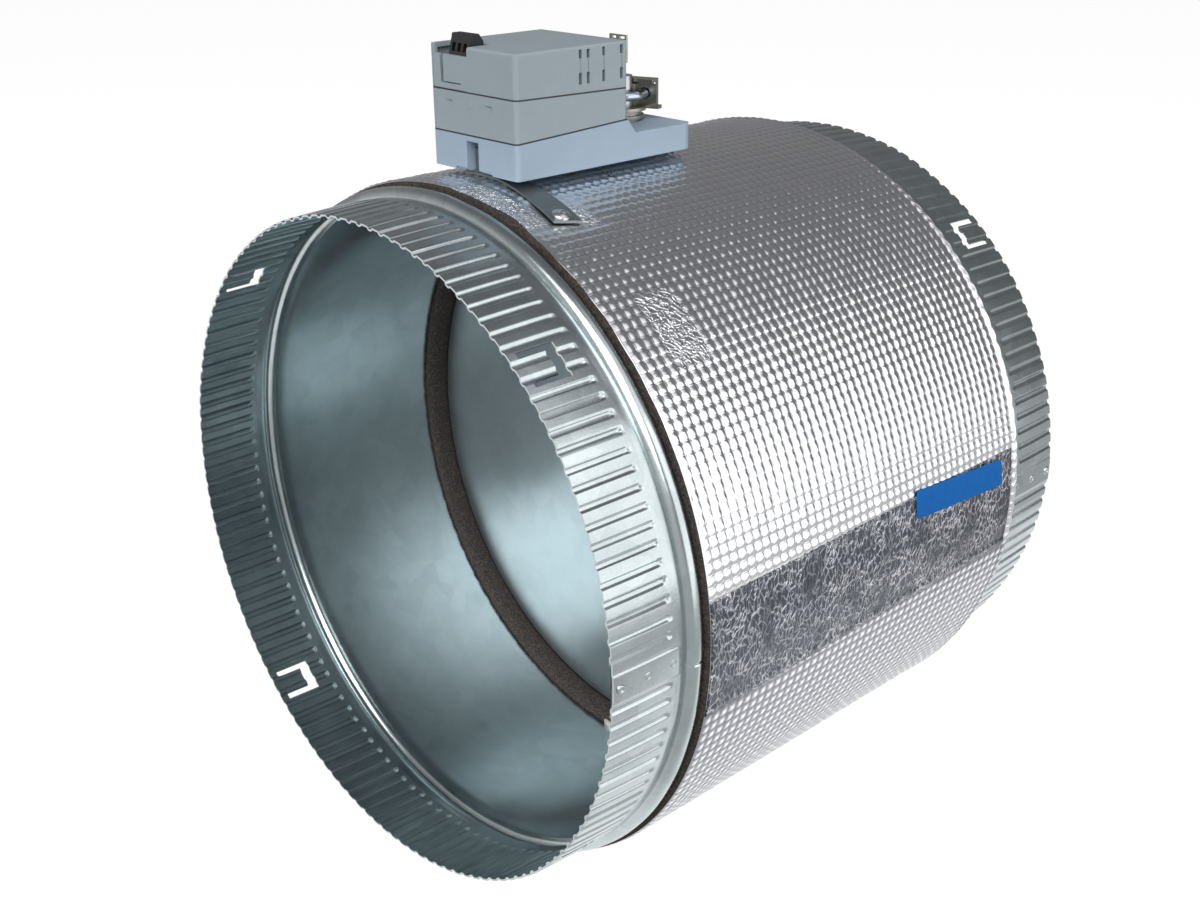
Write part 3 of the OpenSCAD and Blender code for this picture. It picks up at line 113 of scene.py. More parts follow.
# Tape: its edges in degrees at the duct's front and rear, and its creases' places and widths
TAPE_FRONT = (82.1, 100.8)
TAPE_REAR = (80.5, 98.8)
TAPE_R = 182.05
TAPE_START = 10.9
TAPE_END = 248.0
TAPE_CREASES = ((118.0, 0.5), (132.0, 0.6), (213.0, 0.4))

# Label: its ends along the duct, half its width, its corners and its direction at both ends
LABEL_R = 182.75
LABEL_THICKNESS = 0.22
LABEL_ENDS = (161.5, 238.1)
LABEL_HALF = 7.4
LABEL_CORNER = 3.0
LABEL_AT = 82.45
LABEL_TURN = 1.35

# Seal strip: places along the duct and radii of its section between its two feet on the wall
SEAL_FOOT_R = DUCT_R - SHEET - 0.05
SEAL_FEET = (120.8, 144.5)
SEAL_SECTION = ((120.7, 172.6), (121.2, 170.6), (122.6, 169.4), (125.0, 169.1), (140.0, 169.1),
                (143.0, 169.5), (144.3, 171.0))
SEAL_INNER_R = 169.0

# Heights of the actuator's two joint lines over its underside, at its front and at its rear
JOINT_LINES = ((17.6, 20.8), (37.9, 36.3))

# Stage. Brightness of the studio round the horizon by azimuth, from +X towards +Y, and its fall with height
HORIZON = ((-180, 0.32), (-140, 0.60), (-60, 0.75), (-20, 0.30), (0, 0.15), (105, 0.14), (138, 0.25),
           (180, 0.32))
FADE = ((-90, 1.0), (4, 1.0), (20, 0.75), (42, 0.25), (60, 0.0))
CEILING = 0.18
# A white bounce board above the right side: its azimuth and height, the half angle of its core and its reach
BOUNCE = (20.0, 50.0)
BOUNCE_CORE = 8.0
BOUNCE_REACH = 33.0
BOUNCE_COLOUR = (0.95, 0.95, 0.97)
BACKDROP = (0.93, 0.93, 0.93)
FLOOR_COLOUR = 0.20
FLOOR_LIFT = 0.90
FLOOR_REACH = 6.0
# The floor's lines past which the camera sees nothing: the direction across each and its distance in metres
FIELD_ACROSS = ((0.896, 0.444, 0.0), (0.732, -0.682, 0.0))
FIELD_EDGES = (0.40, 0.07)
FIELD_SOFT = 0.16
OUTSIDE_TONE = 0.34

FULL = 360.0
# Millimetres per degree round the wall and round the foil, for the small unevenness
WALL_ARC = 3.05
FOIL_ARC = 3.18


def smooth(low, high, x):
    """0 below low, 1 above high, and a smooth step between them."""
    t = np.clip((np.asarray(x, float) - low) / (high - low), 0, 1)
    return t * t * (3 - 2 * t)


def bump(x, centre, half, edge):
    """1 within half of the centre, falling to 0 over the edge."""
    return 1 - smooth(half, half + edge, np.abs(np.asarray(x, float) - centre))


def around(radius, angle, y):
    """Points in metres at that radius, direction and place along the duct."""
    radius, angle, y = np.broadcast_arrays(radius, np.radians(angle), y)
    return np.stack([radius * np.sin(angle), y, radius * np.cos(angle)], -1) * MM


def wobble(seed, waves, *axes):
    """A smooth seeded field between about -1 and 1: a sum of plane waves over the given axes."""
    rng = np.random.default_rng(seed)
    total = 0
    for scale in waves:
        for _ in range(4):
            turn = rng.normal(size=len(axes))
            turn *= 2 * math.pi / scale / np.linalg.norm(turn)
            total = total + np.sin(sum(t * a for t, a in zip(turn, axes)) + rng.uniform(0, 2 * math.pi))
    return total / (2 * math.sqrt(len(waves)))


def add_object(name, mesh, slot, body="casing", replaced=()):
    """Puts a mesh into the scene as a piece of the part, in the finish of its material slot."""
    piece = bpy.data.objects.new(name, mesh)
    bpy.context.scene.collection.objects.link(piece)
    mesh.materials.clear()
    mesh.materials.append(FINISH[slot])
    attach(piece, body)
    if replaced:
        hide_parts(*replaced)
    return piece


def grid_faces(rows, columns, wrap_rows=False, wrap_columns=True, keep=None):
    """Quads of a grid of points, numbered row by row; keep says which of its cells have a face."""
    last_row = rows if wrap_rows else rows - 1
    last_column = columns if wrap_columns else columns - 1
    j, i = np.meshgrid(np.arange(last_row), np.arange(last_column), indexing="ij")
    j2, i2 = (j + 1) % rows, (i + 1) % columns
    quads = np.stack([j * columns + i, j * columns + i2, j2 * columns + i2, j2 * columns + i], -1)
    return quads[keep] if keep is not None else quads.reshape(-1, 4)


def mesh_of(name, points, faces):
    """A smooth-shaded mesh of points in metres."""
    mesh = bpy.data.meshes.new(name)
    mesh.from_pydata(np.asarray(points).reshape(-1, 3).tolist(), [], np.asarray(faces).tolist())
    mesh.shade_smooth()
    return mesh


def settle(piece, sharp):
    """Applies a piece's modifiers to its mesh, and marks edges over that many degrees as sharp."""
    depsgraph = bpy.context.evaluated_depsgraph_get()
    mesh = bpy.data.meshes.new_from_object(piece.evaluated_get(depsgraph))
    piece.modifiers.clear()
    piece.data = mesh
    mesh.shade_smooth()
    mesh.set_sharp_from_angle(angle=math.radians(sharp))


def closed_band(name, rows):
    """A ring-shaped solid from rows of points that run round the duct; the last row joins the first."""
    grid = np.stack(rows)
    return mesh_of(name, grid, grid_faces(grid.shape[0], grid.shape[1], wrap_rows=True))


def closed_slab(name, top, bottom):
    """A thin solid between two grids of points of one size."""
    rows, columns = top.shape[:2]
    count = rows * columns
    faces = [grid_faces(rows, columns, wrap_columns=False)]
    faces.append(faces[0][:, ::-1] + count)
    j, i = np.arange(rows - 1), np.arange(columns - 1)
    for a, b in (
        (i, i + 1),
        ((rows - 1) * columns + i + 1, (rows - 1) * columns + i),
        ((j + 1) * columns, j * columns),
        (j * columns + columns - 1, (j + 1) * columns + columns - 1),
    ):
        faces.append(np.stack([b, a, a + count, b + count], -1))
    return mesh_of(name, np.concatenate([top.reshape(-1, 3), bottom.reshape(-1, 3)]), np.concatenate(faces))


# Materials


class Graph:
    """A material's node graph with short calls for the nodes that the finishes use."""

    def __init__(self, name=None, tree=None, output="Principled BSDF", **sockets):
        self.material = None if tree else bpy.data.materials.new(name)
        if self.material:
            self.material.use_nodes = True
        self.tree = tree or self.material.node_tree
        self.shader = self.tree.nodes[output]
        self.set(**sockets)
        self.place = self.node("ShaderNodeTexCoord").outputs["Generated" if tree else "Object"]

    def node(self, kind, settings=None, **inputs):
        made = self.tree.nodes.new(kind)
        for key, value in (settings or {}).items():
            setattr(made, key, value)
        for key, value in inputs.items():
            self.feed(made.inputs[key.replace("_", " ")], value)
        return made

    def feed(self, socket, value):
        if isinstance(value, bpy.types.NodeSocket):
            self.tree.links.new(value, socket)
        else:
            socket.default_value = value

    def math(self, operation, *values, clamp=False):
        made = self.node("ShaderNodeMath", {"operation": operation, "use_clamp": clamp})
        for socket, value in zip(made.inputs, values):
            self.feed(socket, value)
        return made.outputs[0]

    def stretched(self, x, y, z):
        made = self.node("ShaderNodeMapping", {"vector_type": "POINT"}, Vector=self.place)
        made.inputs["Scale"].default_value = (x, y, z)
        return made.outputs[0]

    def most(self, values):
        """The largest of some values."""
        total = values[0]
        for value in values[1:]:
            total = self.math("MAXIMUM", total, value)
        return total

    def dot(self, vector, direction):
        made = self.node("ShaderNodeVectorMath", {"operation": "DOT_PRODUCT"})
        self.feed(made.inputs[0], vector)
        made.inputs[1].default_value = direction
        return made.outputs["Value"]

    def pushed(self, vector, amount, x, y):
        """A place moved along X and Y by shares of an amount."""
        off = self.node("ShaderNodeCombineXYZ", X=self.math("MULTIPLY", amount, x),
                        Y=self.math("MULTIPLY", amount, y))
        made = self.node("ShaderNodeVectorMath", {"operation": "ADD"})
        self.feed(made.inputs[0], vector)
        self.feed(made.inputs[1], off.outputs[0])
        return made.outputs[0]

    def noise(self, scale, detail=3.0, roughness=0.5, vector=None):
        made = self.node("ShaderNodeTexNoise", Vector=vector or self.place, Scale=scale, Detail=detail,
                         Roughness=roughness)
        return made.outputs["Fac"]

    def cells(self, scale, vector=None, feature="F1", output="Distance"):
        vector = vector or self.place
        made = self.node("ShaderNodeTexVoronoi", {"feature": feature}, Vector=vector, Scale=scale)
        return made.outputs[output]

    def ramp(self, value, *stops):
        """Maps a value through a colour ramp; each stop is a place and a grey level or a colour."""
        made = self.node("ShaderNodeValToRGB", Fac=value)
        elements = made.color_ramp.elements
        elements.remove(elements[-1])
        elements[0].position = stops[0][0]
        for place, _ in stops[1:]:
            elements.new(place)
        for element, (_, level) in zip(elements, stops):
            element.color = (*level, 1) if isinstance(level, tuple) else (level, level, level, 1)
        return made.outputs["Color"]

    def mix(self, factor, a, b):
        made = self.node("ShaderNodeMix", {"data_type": "RGBA"})
        self.feed(made.inputs["Factor"], factor)
        self.feed(made.inputs[6], (*a, 1) if isinstance(a, tuple) else a)
        self.feed(made.inputs[7], (*b, 1) if isinstance(b, tuple) else b)
        return made.outputs[2]

    def near(self, value, centre, half, soft):
        """1 where the value is within half of the centre, falling to 0 over the next soft."""
        off = self.math("ABSOLUTE", self.math("SUBTRACT", value, centre))
        return self.math("DIVIDE", self.math("SUBTRACT", half + soft, off), soft, clamp=True)

    def spread(self, value, low, high):
        made = self.node("ShaderNodeMapRange", Value=value)
        made.inputs["To Min"].default_value = low
        made.inputs["To Max"].default_value = high
        return made.outputs[0]

    def relief(self, height, distance, strength=1.0, under=None):
        """A bump of that height, in metres, over the one under it."""
        made = self.node("ShaderNodeBump", Height=height, Distance=distance, Strength=strength)
        if under is not None:
            self.feed(made.inputs["Normal"], under)
        return made.outputs[0]

    def raise_by(self, height, distance, strength=1.0, under=None):
        """Gives the surface a bump."""
        self.feed(self.shader.inputs["Normal"], self.relief(height, distance, strength, under))

    def set(self, **sockets):
        for socket, value in sockets.items():
            self.feed(self.shader.inputs[socket.replace("_", " ")], value)
        return self.material


def galvanised(name, dark, light, low_rough=0.17, high_rough=0.28, spangle=90.0):
    """Zinc-coated sheet: faint crystals, clouded grey-green tone and uneven gloss."""
    g = Graph(name, Metallic=1.0)
    crystals = g.cells(spangle, output="Color")
    grey = g.node("ShaderNodeRGBToBW", Color=crystals).outputs[0]
    clouds = g.noise(26.0, 6.0, 0.72)
    grain = g.noise(900.0, 2.0, 0.7)
    tone = g.math("ADD", g.math("MULTIPLY", grey, 0.28), g.math("MULTIPLY", clouds, 0.72))
    tone = g.math("ADD", tone, g.math("MULTIPLY", g.math("SUBTRACT", grain, 0.5), 0.35), clamp=True)
    g.raise_by(g.math("ADD", grain, g.math("MULTIPLY", g.noise(60.0, 3.0), 2.0)), 0.00006, 0.5)
    return g.set(Base_Color=g.mix(tone, dark, light), Roughness=g.spread(clouds, low_rough, high_rough))


def foil(name):
    """Bright quilted foil: scrim threads between the pillows, fine crinkles and handled, wrinkled places."""
    g = Graph(name, Metallic=1.0)
    parts = g.node("ShaderNodeSeparateXYZ", Vector=g.place)
    turn = g.math("ARCTAN2", parts.outputs["X"], parts.outputs["Z"])
    along = g.math("SUBTRACT", parts.outputs["Y"], FOIL_START * MM)
    cells = (g.math("MULTIPLY", turn, CELLS_ROUND / (2 * math.pi)),
             g.math("MULTIPLY", along, 1 / (CELL_LENGTH * MM)))
    # Distance from the middle of the cell, 0.5 in its grooves
    gaps = [g.math("ABSOLUTE", g.math("SUBTRACT", g.math("FRACT", cell), 0.5)) for cell in cells]
    line = g.most([g.ramp(gap, (0.415, 0.0), (0.46, 0.8), (0.5, 1.0)) for gap in gaps])
    wrinkled = g.most([
        g.math("MULTIPLY", g.near(turn, math.radians(angle), math.radians(half_angle), 0.03),
               g.near(parts.outputs["Y"], y * MM, half_y * MM, 0.004))
        for angle, half_angle, y, half_y in WRINKLED
    ])
    crinkle = g.noise(420.0, 4.0, 0.65)
    dull = g.noise(35.0, 3.0, 0.6)
    bent = g.pushed(g.place, g.noise(150.0, 3.0, 0.6), 0.006, 0.009)
    fold = g.ramp(g.cells(340.0, bent, "DISTANCE_TO_EDGE"), (0.0, 1.0), (0.06, 0.35), (0.22, 0.0))
    ridges = g.relief(g.math("MULTIPLY", line, g.math("SUBTRACT", 1.0, wrinkled)), 0.00007)
    folds = g.relief(g.math("MULTIPLY", fold, wrinkled), 0.0005, under=ridges)
    g.raise_by(crinkle, 0.00003, 0.5, folds)
    tone = g.math("ADD", g.math("MULTIPLY", dull, 0.6), g.math("MULTIPLY", crinkle, 0.4))
    clean = g.mix(tone, (0.80, 0.81, 0.84), (0.95, 0.955, 0.97))
    # Painted shade in the grooves: faint everywhere, wide and dark on the under side
    under = g.near(turn, math.radians(140.0), math.radians(40.5), 0.04)
    under_groove_shade = g.math("MULTIPLY", g.most([g.ramp(gap, (0.12, 0.0), (0.40, 1.0)) for gap in gaps]), under)
    groove_shade = g.math("MAXIMUM", g.math("MULTIPLY", line, 0.24), g.math("MULTIPLY", under_groove_shade, 0.95))
    return g.set(Base_Color=g.mix(groove_shade, clean, (0.24, 0.25, 0.28)), Roughness=g.spread(dull, 0.13, 0.22))


def tape(name):
    """Foil tape pressed over the quilt: grey film with short crinkles, most of them across it, and a painted
    highlight on their ridges.
    """
    g = Graph(name, Metallic=1.0)
    bent = g.pushed(g.stretched(0.35, 1.0, 0.35), g.noise(60.0, 3.0, 0.6), 0.010, 0.016)
    folds = g.cells(430.0, bent, "DISTANCE_TO_EDGE")
    patches = g.noise(55.0, 3.0, 0.6)
    ridge = g.math("MULTIPLY", g.ramp(folds, (0.0, 1.0), (0.05, 0.45), (0.15, 0.0)),
                   g.ramp(patches, (0.34, 0.15), (0.58, 1.0)))
    fine = g.noise(1100.0, 4.0, 0.75, g.stretched(0.5, 1.0, 0.5))
    g.raise_by(fine, 0.0002, 0.9, g.relief(ridge, 0.0005, 0.9))
    # Pale colour on the crinkles' ridges and on fine specks: a painted highlight over their real relief
    painted_highlight = g.math("MAXIMUM", ridge, g.math("MULTIPLY", g.ramp(fine, (0.60, 0.0), (0.72, 1.0)), 0.6))
    film = g.mix(patches, (0.055, 0.065, 0.08), (0.14, 0.15, 0.18))
    return g.set(Base_Color=g.mix(painted_highlight, film, (0.80, 0.81, 0.85)), Roughness=g.spread(patches, 0.20, 0.32))


def foam(name, dark, light):
    """Open foam: dark cells with pale specks."""
    g = Graph(name, Roughness=0.92)
    cells = g.cells(700.0)
    specks = g.ramp(g.noise(1300.0, 2.0, 0.8), (0.58, 0.0), (0.72, 1.0))
    g.raise_by(g.math("ADD", cells, g.math("MULTIPLY", specks, 0.4)), 0.0008, 0.9)
    tone = g.math("MULTIPLY", g.math("ADD", specks, g.math("MULTIPLY", cells, 0.5)), 0.7, clamp=True)
    return g.set(Base_Color=g.mix(tone, dark, light))


def joint_shade(g):
    """1 on the actuator's joint lines, where the shade in the gaps between the parts is painted."""
    front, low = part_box("actuator_base")[0].y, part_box("actuator_base")[0].z
    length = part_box("actuator_middle_housing")[1].y - front
    parts = g.node("ShaderNodeSeparateXYZ", Vector=g.place)
    along = g.math("DIVIDE", g.math("SUBTRACT", parts.outputs["Y"], front), length)
    lines = []
    for start, end in JOINT_LINES:
        height = g.math("ADD", g.math("MULTIPLY", along, (end - start) * MM), low + start * MM)
        lines.append(g.near(g.math("SUBTRACT", parts.outputs["Z"], height), 0.0, 0.25 * MM, 0.3 * MM))
    return g.most(lines)


def moulded(name, colour, rough=0.55, shaded_joints=False):
    """Moulded plastic with fine spark grain, faint flow clouds and slightly worn sheen."""
    g = Graph(name)
    clouds = g.noise(40.0, 4.0, 0.6)
    fine = g.noise(1500.0, 2.0, 0.6)
    low = tuple(c * 0.86 for c in colour)
    high = tuple(min(1.0, c * 1.1) for c in colour)
    g.raise_by(fine, 0.00003, 0.6)
    tone = g.mix(g.math("ADD", g.math("MULTIPLY", clouds, 0.7), g.math("MULTIPLY", fine, 0.3)), low, high)
    # Painted shade along the joint lines between the actuator's parts
    if shaded_joints:
        tone = g.mix(joint_shade(g), tone, (0.02, 0.022, 0.025))
    return g.set(Base_Color=tone, Roughness=g.spread(clouds, rough - 0.07, rough + 0.08))


def plated(name, dark, light, rough=0.25, streaks=(1.0, 1.0, 1.0)):
    """Turned or rolled metal: fine streaks, stains and small changes of gloss."""
    g = Graph(name, Metallic=1.0)
    lines = g.noise(500.0, 3.0, 0.6, g.stretched(*streaks))
    stains = g.noise(45.0, 4.0, 0.65)
    tone = g.math("ADD", g.math("MULTIPLY", lines, 0.5), g.math("MULTIPLY", stains, 0.5))
    g.raise_by(lines, 0.00002, 0.5)
    return g.set(Base_Color=g.mix(tone, dark, light), Roughness=g.spread(stains, rough - 0.08, rough + 0.14))


def vinyl(name, colour):
    """Printed sticker film, slightly uneven in ink and gloss."""
    g = Graph(name, Specular_IOR_Level=0.12)
    ink = g.noise(260.0, 4.0, 0.7)
    waves = g.noise(60.0, 2.0)
    g.raise_by(g.math("ADD", ink, g.math("MULTIPLY", waves, 3.0)), 0.00005, 0.6)
    thin, full = (tuple(min(1.0, c * share) for c in colour) for share in (0.8, 1.2))
    return g.set(Base_Color=g.mix(ink, thin, full), Roughness=g.spread(waves, 0.32, 0.5))


def laminate(name):
    """Circuit board: green lacquer over a faint weave."""
    g = Graph(name, Coat_Weight=0.4, Coat_Roughness=0.2)
    weave = g.node("ShaderNodeTexChecker", Vector=g.place, Scale=1500.0).outputs["Fac"]
    clouds = g.noise(80.0, 3.0)
    g.raise_by(weave, 0.00002, 0.4)
    green = g.mix(clouds, (0.02, 0.13, 0.05), (0.05, 0.22, 0.10))
    return g.set(Base_Color=green, Roughness=g.spread(weave, 0.35, 0.45))


FINISH = {
    "galvanised_sheet": galvanised("galvanised_sheet", (0.38, 0.435, 0.445), (0.66, 0.72, 0.73)),
    "blade_sheet": galvanised("blade_sheet", (0.30, 0.36, 0.385), (0.46, 0.53, 0.56), 0.38, 0.5),
    "olive_zinc": galvanised("olive_zinc", (0.20, 0.20, 0.15), (0.50, 0.50, 0.42), 0.28, 0.42, 260.0),
    "foil_facing": foil("foil_facing"),
    "foil_tape": tape("foil_tape"),
    "foam_blanket": foam("foam_blanket", (0.012, 0.010, 0.009), (0.16, 0.12, 0.10)),
    "seal_strip": foam("seal_strip", (0.022, 0.018, 0.017), (0.24, 0.20, 0.18)),
    "blue_label": vinyl("blue_label", (0.002, 0.105, 0.37)),
    "bush_plastic": moulded("bush_plastic", (0.70, 0.69, 0.64), 0.5),
    "base_plastic": moulded("base_plastic", (0.29, 0.375, 0.46), 0.55, shaded_joints=True),
    "housing_plastic": moulded("housing_plastic", (0.265, 0.315, 0.345), 0.55, shaded_joints=True),
    "terminal_plastic": moulded("terminal_plastic", (0.012, 0.012, 0.014), 0.42),
    "gear_plastic": moulded("gear_plastic", (0.70, 0.67, 0.58), 0.45),
    "blade_rubber": moulded("blade_rubber", (0.012, 0.012, 0.013), 0.6),
    "board_laminate": laminate("board_laminate"),
    "dark_strap": plated("dark_strap", (0.14, 0.16, 0.165), (0.34, 0.37, 0.38), 0.42, (1.0, 0.05, 1.0)),
    "screw_steel": plated("screw_steel", (0.45, 0.46, 0.48), (0.82, 0.83, 0.85), 0.2),
    "bright_steel": plated("bright_steel", (0.45, 0.46, 0.47), (0.75, 0.76, 0.77), 0.3, (0.1, 1.0, 1.0)),
    "shaft_steel": plated("shaft_steel", (0.30, 0.31, 0.33), (0.62, 0.63, 0.65), 0.26, (1.0, 1.0, 0.08)),
    "rivet_aluminium": plated("rivet_aluminium", (0.55, 0.56, 0.58), (0.85, 0.86, 0.88), 0.3),
    "spring_steel": plated("spring_steel", (0.08, 0.085, 0.09), (0.24, 0.25, 0.27), 0.35),
    "zinc_blue": plated("zinc_blue", (0.36, 0.40, 0.52), (0.70, 0.74, 0.86), 0.2),
    "jaw_steel": plated("jaw_steel", (0.22, 0.22, 0.21), (0.50, 0.51, 0.50), 0.4),
    "brass": plated("brass", (0.45, 0.32, 0.11), (0.80, 0.64, 0.30), 0.25),
}


# Duct wall


def rib_fall(angle, y):
    """Depth of the crimped grooves at a direction and a place, with small differences from rib to rib."""
    rng = np.random.default_rng(7)
    depth = RIB_DEPTH * rng.uniform(0.86, 1.1, RIBS)
    shift = rng.uniform(-0.03, 0.03, RIBS)
    reach = rng.uniform(-0.5, 0.5, RIBS)
    turn = np.mod(angle, FULL) / FULL * RIBS
    rib = turn.astype(int) % RIBS
    u = turn - turn.astype(int) + shift[rib]
    shape = smooth(0.50, 0.66, u) * (1 - smooth(0.82, 0.96, u))
    end = RIB_END - 2.2 + reach[rib]
    fade = 1 - smooth(end - RIB_FADE, end + 0.2, y)
    seam = 1 - bump(np.mod(angle, FULL), SEAM_AT, SEAM_HALF, 0.9)
    return depth[rib] * shape * fade * seam


def spigot_radius(angle, y):
    """Outside radius of the front spigot's crimped part."""
    along = (y - RIM) / -RIM
    crest = RIM_R + (DUCT_R - RIM_R) * np.sin(np.clip(along * 1.1, 0, 1) * math.pi / 2)
    turn = np.mod(angle, FULL)
    lap = SEAM_LAP * bump(turn, SEAM_AT, SEAM_HALF - 0.1, 0.3) * (turn > SEAM_AT - FULL / 4)
    lap = lap * smooth(SEAM_AT - 6.0, SEAM_AT - 1.0, turn)
    return crest - rib_fall(angle, y) + lap + 0.12 * wobble(3, (90.0, 50.0), turn * WALL_ARC, y)


def wall_profile():
    """Rows of the wall from the front rim to the middle: place along the duct, and the offset from DUCT_R or
    None where the wall is crimped."""
    ribs = [RIM, -41.6, -40.0, LATCH_ROWS[0], -34.0, -30.0, -26.5, LATCH_ROWS[1], -20.0, LATCH_ROWS[2], -14.5]
    ribs += [-12.0, *np.linspace(-10.5, RIB_END + 0.5, 10)]
    rows = [(y, None) for y in ribs] + [(-2.6, 0.0), (-1.2, 0.0), (-0.3, 0.0)]
    for t in np.linspace(0, math.pi, 15):
        sink = BEAD_SINK if 0 < t < math.pi else 0.0
        rows.append((BEAD_ROLL - BEAD_ROLL * math.cos(t), BEAD_ROLL * math.sin(t) - sink))
    rows += [(y, 0.0) for y in (10.6, 16.0, 30.0, 50.0, 70.0, 90.0, 110.0, MID)]
    return rows


def duct_wall():
    columns = RIBS * COLUMNS_PER_RIB
    angle = (np.arange(columns) + 0.5) * FULL / columns
    rows = wall_profile()
    grid = []
    for y, offset in rows:
        if offset is None:
            radius = spigot_radius(angle, y)
        else:
            radius = np.full(columns, DUCT_R + offset)
            radius += 0.05 * wobble(5, (60.0, 33.0), angle * WALL_ARC, y)
            if offset > 0.5:
                # The notch where the bead's ends meet
                radius -= 0.5 * bump(angle, SEAM_AT + 1.0, 0.12, 0.16)
        grid.append(around(radius, angle, y))
    # The rear half mirrors the front half
    flip = np.array([1, -1, 1])
    grid += [points * flip + np.array([0, BODY_LENGTH * MM, 0]) for points in grid[-2::-1]]
    grid = np.stack(grid)
    keep = np.ones((len(grid) - 1, columns), bool)
    place = [y for y, _ in rows]
    legs = [j for j in range(len(place) - 1) if LATCH_ROWS[0] <= place[j] < LATCH_ROWS[2]]
    base = [j for j in legs if place[j] >= LATCH_ROWS[1]]
    middle = angle + FULL / columns / 2
    for latch in LATCH_ANGLES:
        side = np.abs(middle - latch) * math.radians(1) * DUCT_R
        inside = side < LATCH_HALF
        for chosen, wanted in ((legs, inside & (side > LATCH_TONGUE_HALF)), (base, inside)):
            for j in chosen:
                keep[j, wanted] = False
                keep[len(keep) - 1 - j, wanted] = False
    mesh = mesh_of("duct_wall", grid, grid_faces(len(grid), columns, keep=keep))
    piece = add_object("duct_wall", mesh, "galvanised_sheet", "casing", ["duct_casing"])
    thick = piece.modifiers.new("sheet", "SOLIDIFY")
    thick.thickness = SHEET * MM
    thick.offset = -1
    settle(piece, 38)


def seam_buttons():
    """Pressed clinch marks of the lock seam: a raised ring round a small dished middle."""
    turns = np.radians(np.arange(BUTTON_SIDES) * FULL / BUTTON_SIDES)
    count = len(BUTTON_RINGS)
    faces = grid_faces(count, BUTTON_SIDES).tolist()
    faces += [list(range(BUTTON_SIDES))[::-1], list(range(BUTTON_SIDES * (count - 1), BUTTON_SIDES * count))]
    for k, place in enumerate(BUTTON_PLACES):
        seat = DUCT_R - SHEET + 0.3 + 0.15 * k
        for end, y in (("front", place), ("rear", BODY_LENGTH - place)):
            rings = [np.stack([np.full(BUTTON_SIDES, seat + h), y + r * np.cos(turns), r * np.sin(turns)], -1)
                     for r, h in BUTTON_RINGS]
            mesh = bpy.data.meshes.new(f"seam_button_{end}_{k + 1}")
            mesh.from_pydata((np.concatenate(rings) * MM).tolist(), [], faces)
            mesh.shade_smooth()
            add_object(mesh.name, mesh, "galvanised_sheet")


# Insulation


def foam_blanket():
    columns = 720
    angle = np.arange(columns) * FULL / columns
    arc = angle * math.radians(1) * FOAM_R

    def row(y, radius, ragged):
        rough = ragged * wobble(11, (9.0, 4.0, 2.1), arc, np.full(columns, y))
        return around(radius + 0.6 * rough, angle, y + rough)

    foot = DUCT_R + 0.2
    profile = [(FOAM_START, foot, 0.0), (FOAM_START - 0.25, 177.6, 0.3), (FOAM_START - 0.1, 180.0, 0.35),
               (FOAM_START + 0.2, FOAM_EDGE_R, 0.25), (FOAM_START + 2.0, FOAM_EDGE_R, 0.1),
               (FOIL_START + 4.0, FOAM_TOP_R, 0.0), (FOAM_END - 1.0, FOAM_TOP_R, 0.0),
               (FOAM_END, 180.0, 0.0), (FOAM_END, 177.0, 0.0), (FOAM_END, foot, 0.0)]
    mesh = closed_band("foam_blanket", [row(*place) for place in profile])
    add_object("foam_blanket", mesh, "foam_blanket", "casing", ["insulation_foam"])


def tape_edges(y):
    """Directions of the tape's upper and lower edge at a place along the duct."""
    t = (y - TAPE_START) / (TAPE_END - TAPE_START)
    return [front + (rear - front) * t for front, rear in zip(TAPE_FRONT, TAPE_REAR)]


def foil_relief(angle, y):
    """Height of the quilt over its grooves, with the handled, pressed and crumpled places."""
    u = np.mod(angle, FULL) / FULL * CELLS_ROUND
    v = (y - FOIL_START) / CELL_LENGTH
    u, v = u - np.floor(u), v - np.floor(v)
    puff = 1 - 0.5 * ((2 * u - 1) ** 2 + (2 * v - 1) ** 2)
    arc = angle * math.radians(1) * FOAM_R
    pressed = bump(angle, 12.0, 9.0, 2.5) * bump(y, 18.0, 9.0, 4.0)
    strap = bump(angle, 18.6, 3.2, 2.2) * bump(y, 40.0, 12.0, 5.0)
    crumpled = bump(angle, 43.2, 5.4, 1.6) * bump(y, 43.0, 9.5, 3.0)
    flat = np.clip(0.75 * pressed + 0.6 * strap + 0.45 * crumpled, 0, 0.85)
    relief = FOIL_PUFF * puff * (1 - flat) * (1 + 0.10 * wobble(21, (14.0, 8.0), arc, y))
    relief = relief + crumpled * 0.18 * np.abs(wobble(22, (5.0, 2.6, 1.7), arc, y))
    crease = bump(y, 130.0, 0.2, 0.9) * bump(angle, 75.3, 5.0, 1.5)
    relief = relief - 0.5 * crease
    # The tape presses the quilt flat
    first, last = tape_edges(y)
    taped = smooth(first - 0.5, first + 0.4, angle) * (1 - smooth(last - 0.4, last + 0.5, angle))
    taped = taped * (y < TAPE_END)
    return (relief + 0.06 * wobble(23, (55.0, 31.0), arc, y)) * (1 - 0.75 * taped)


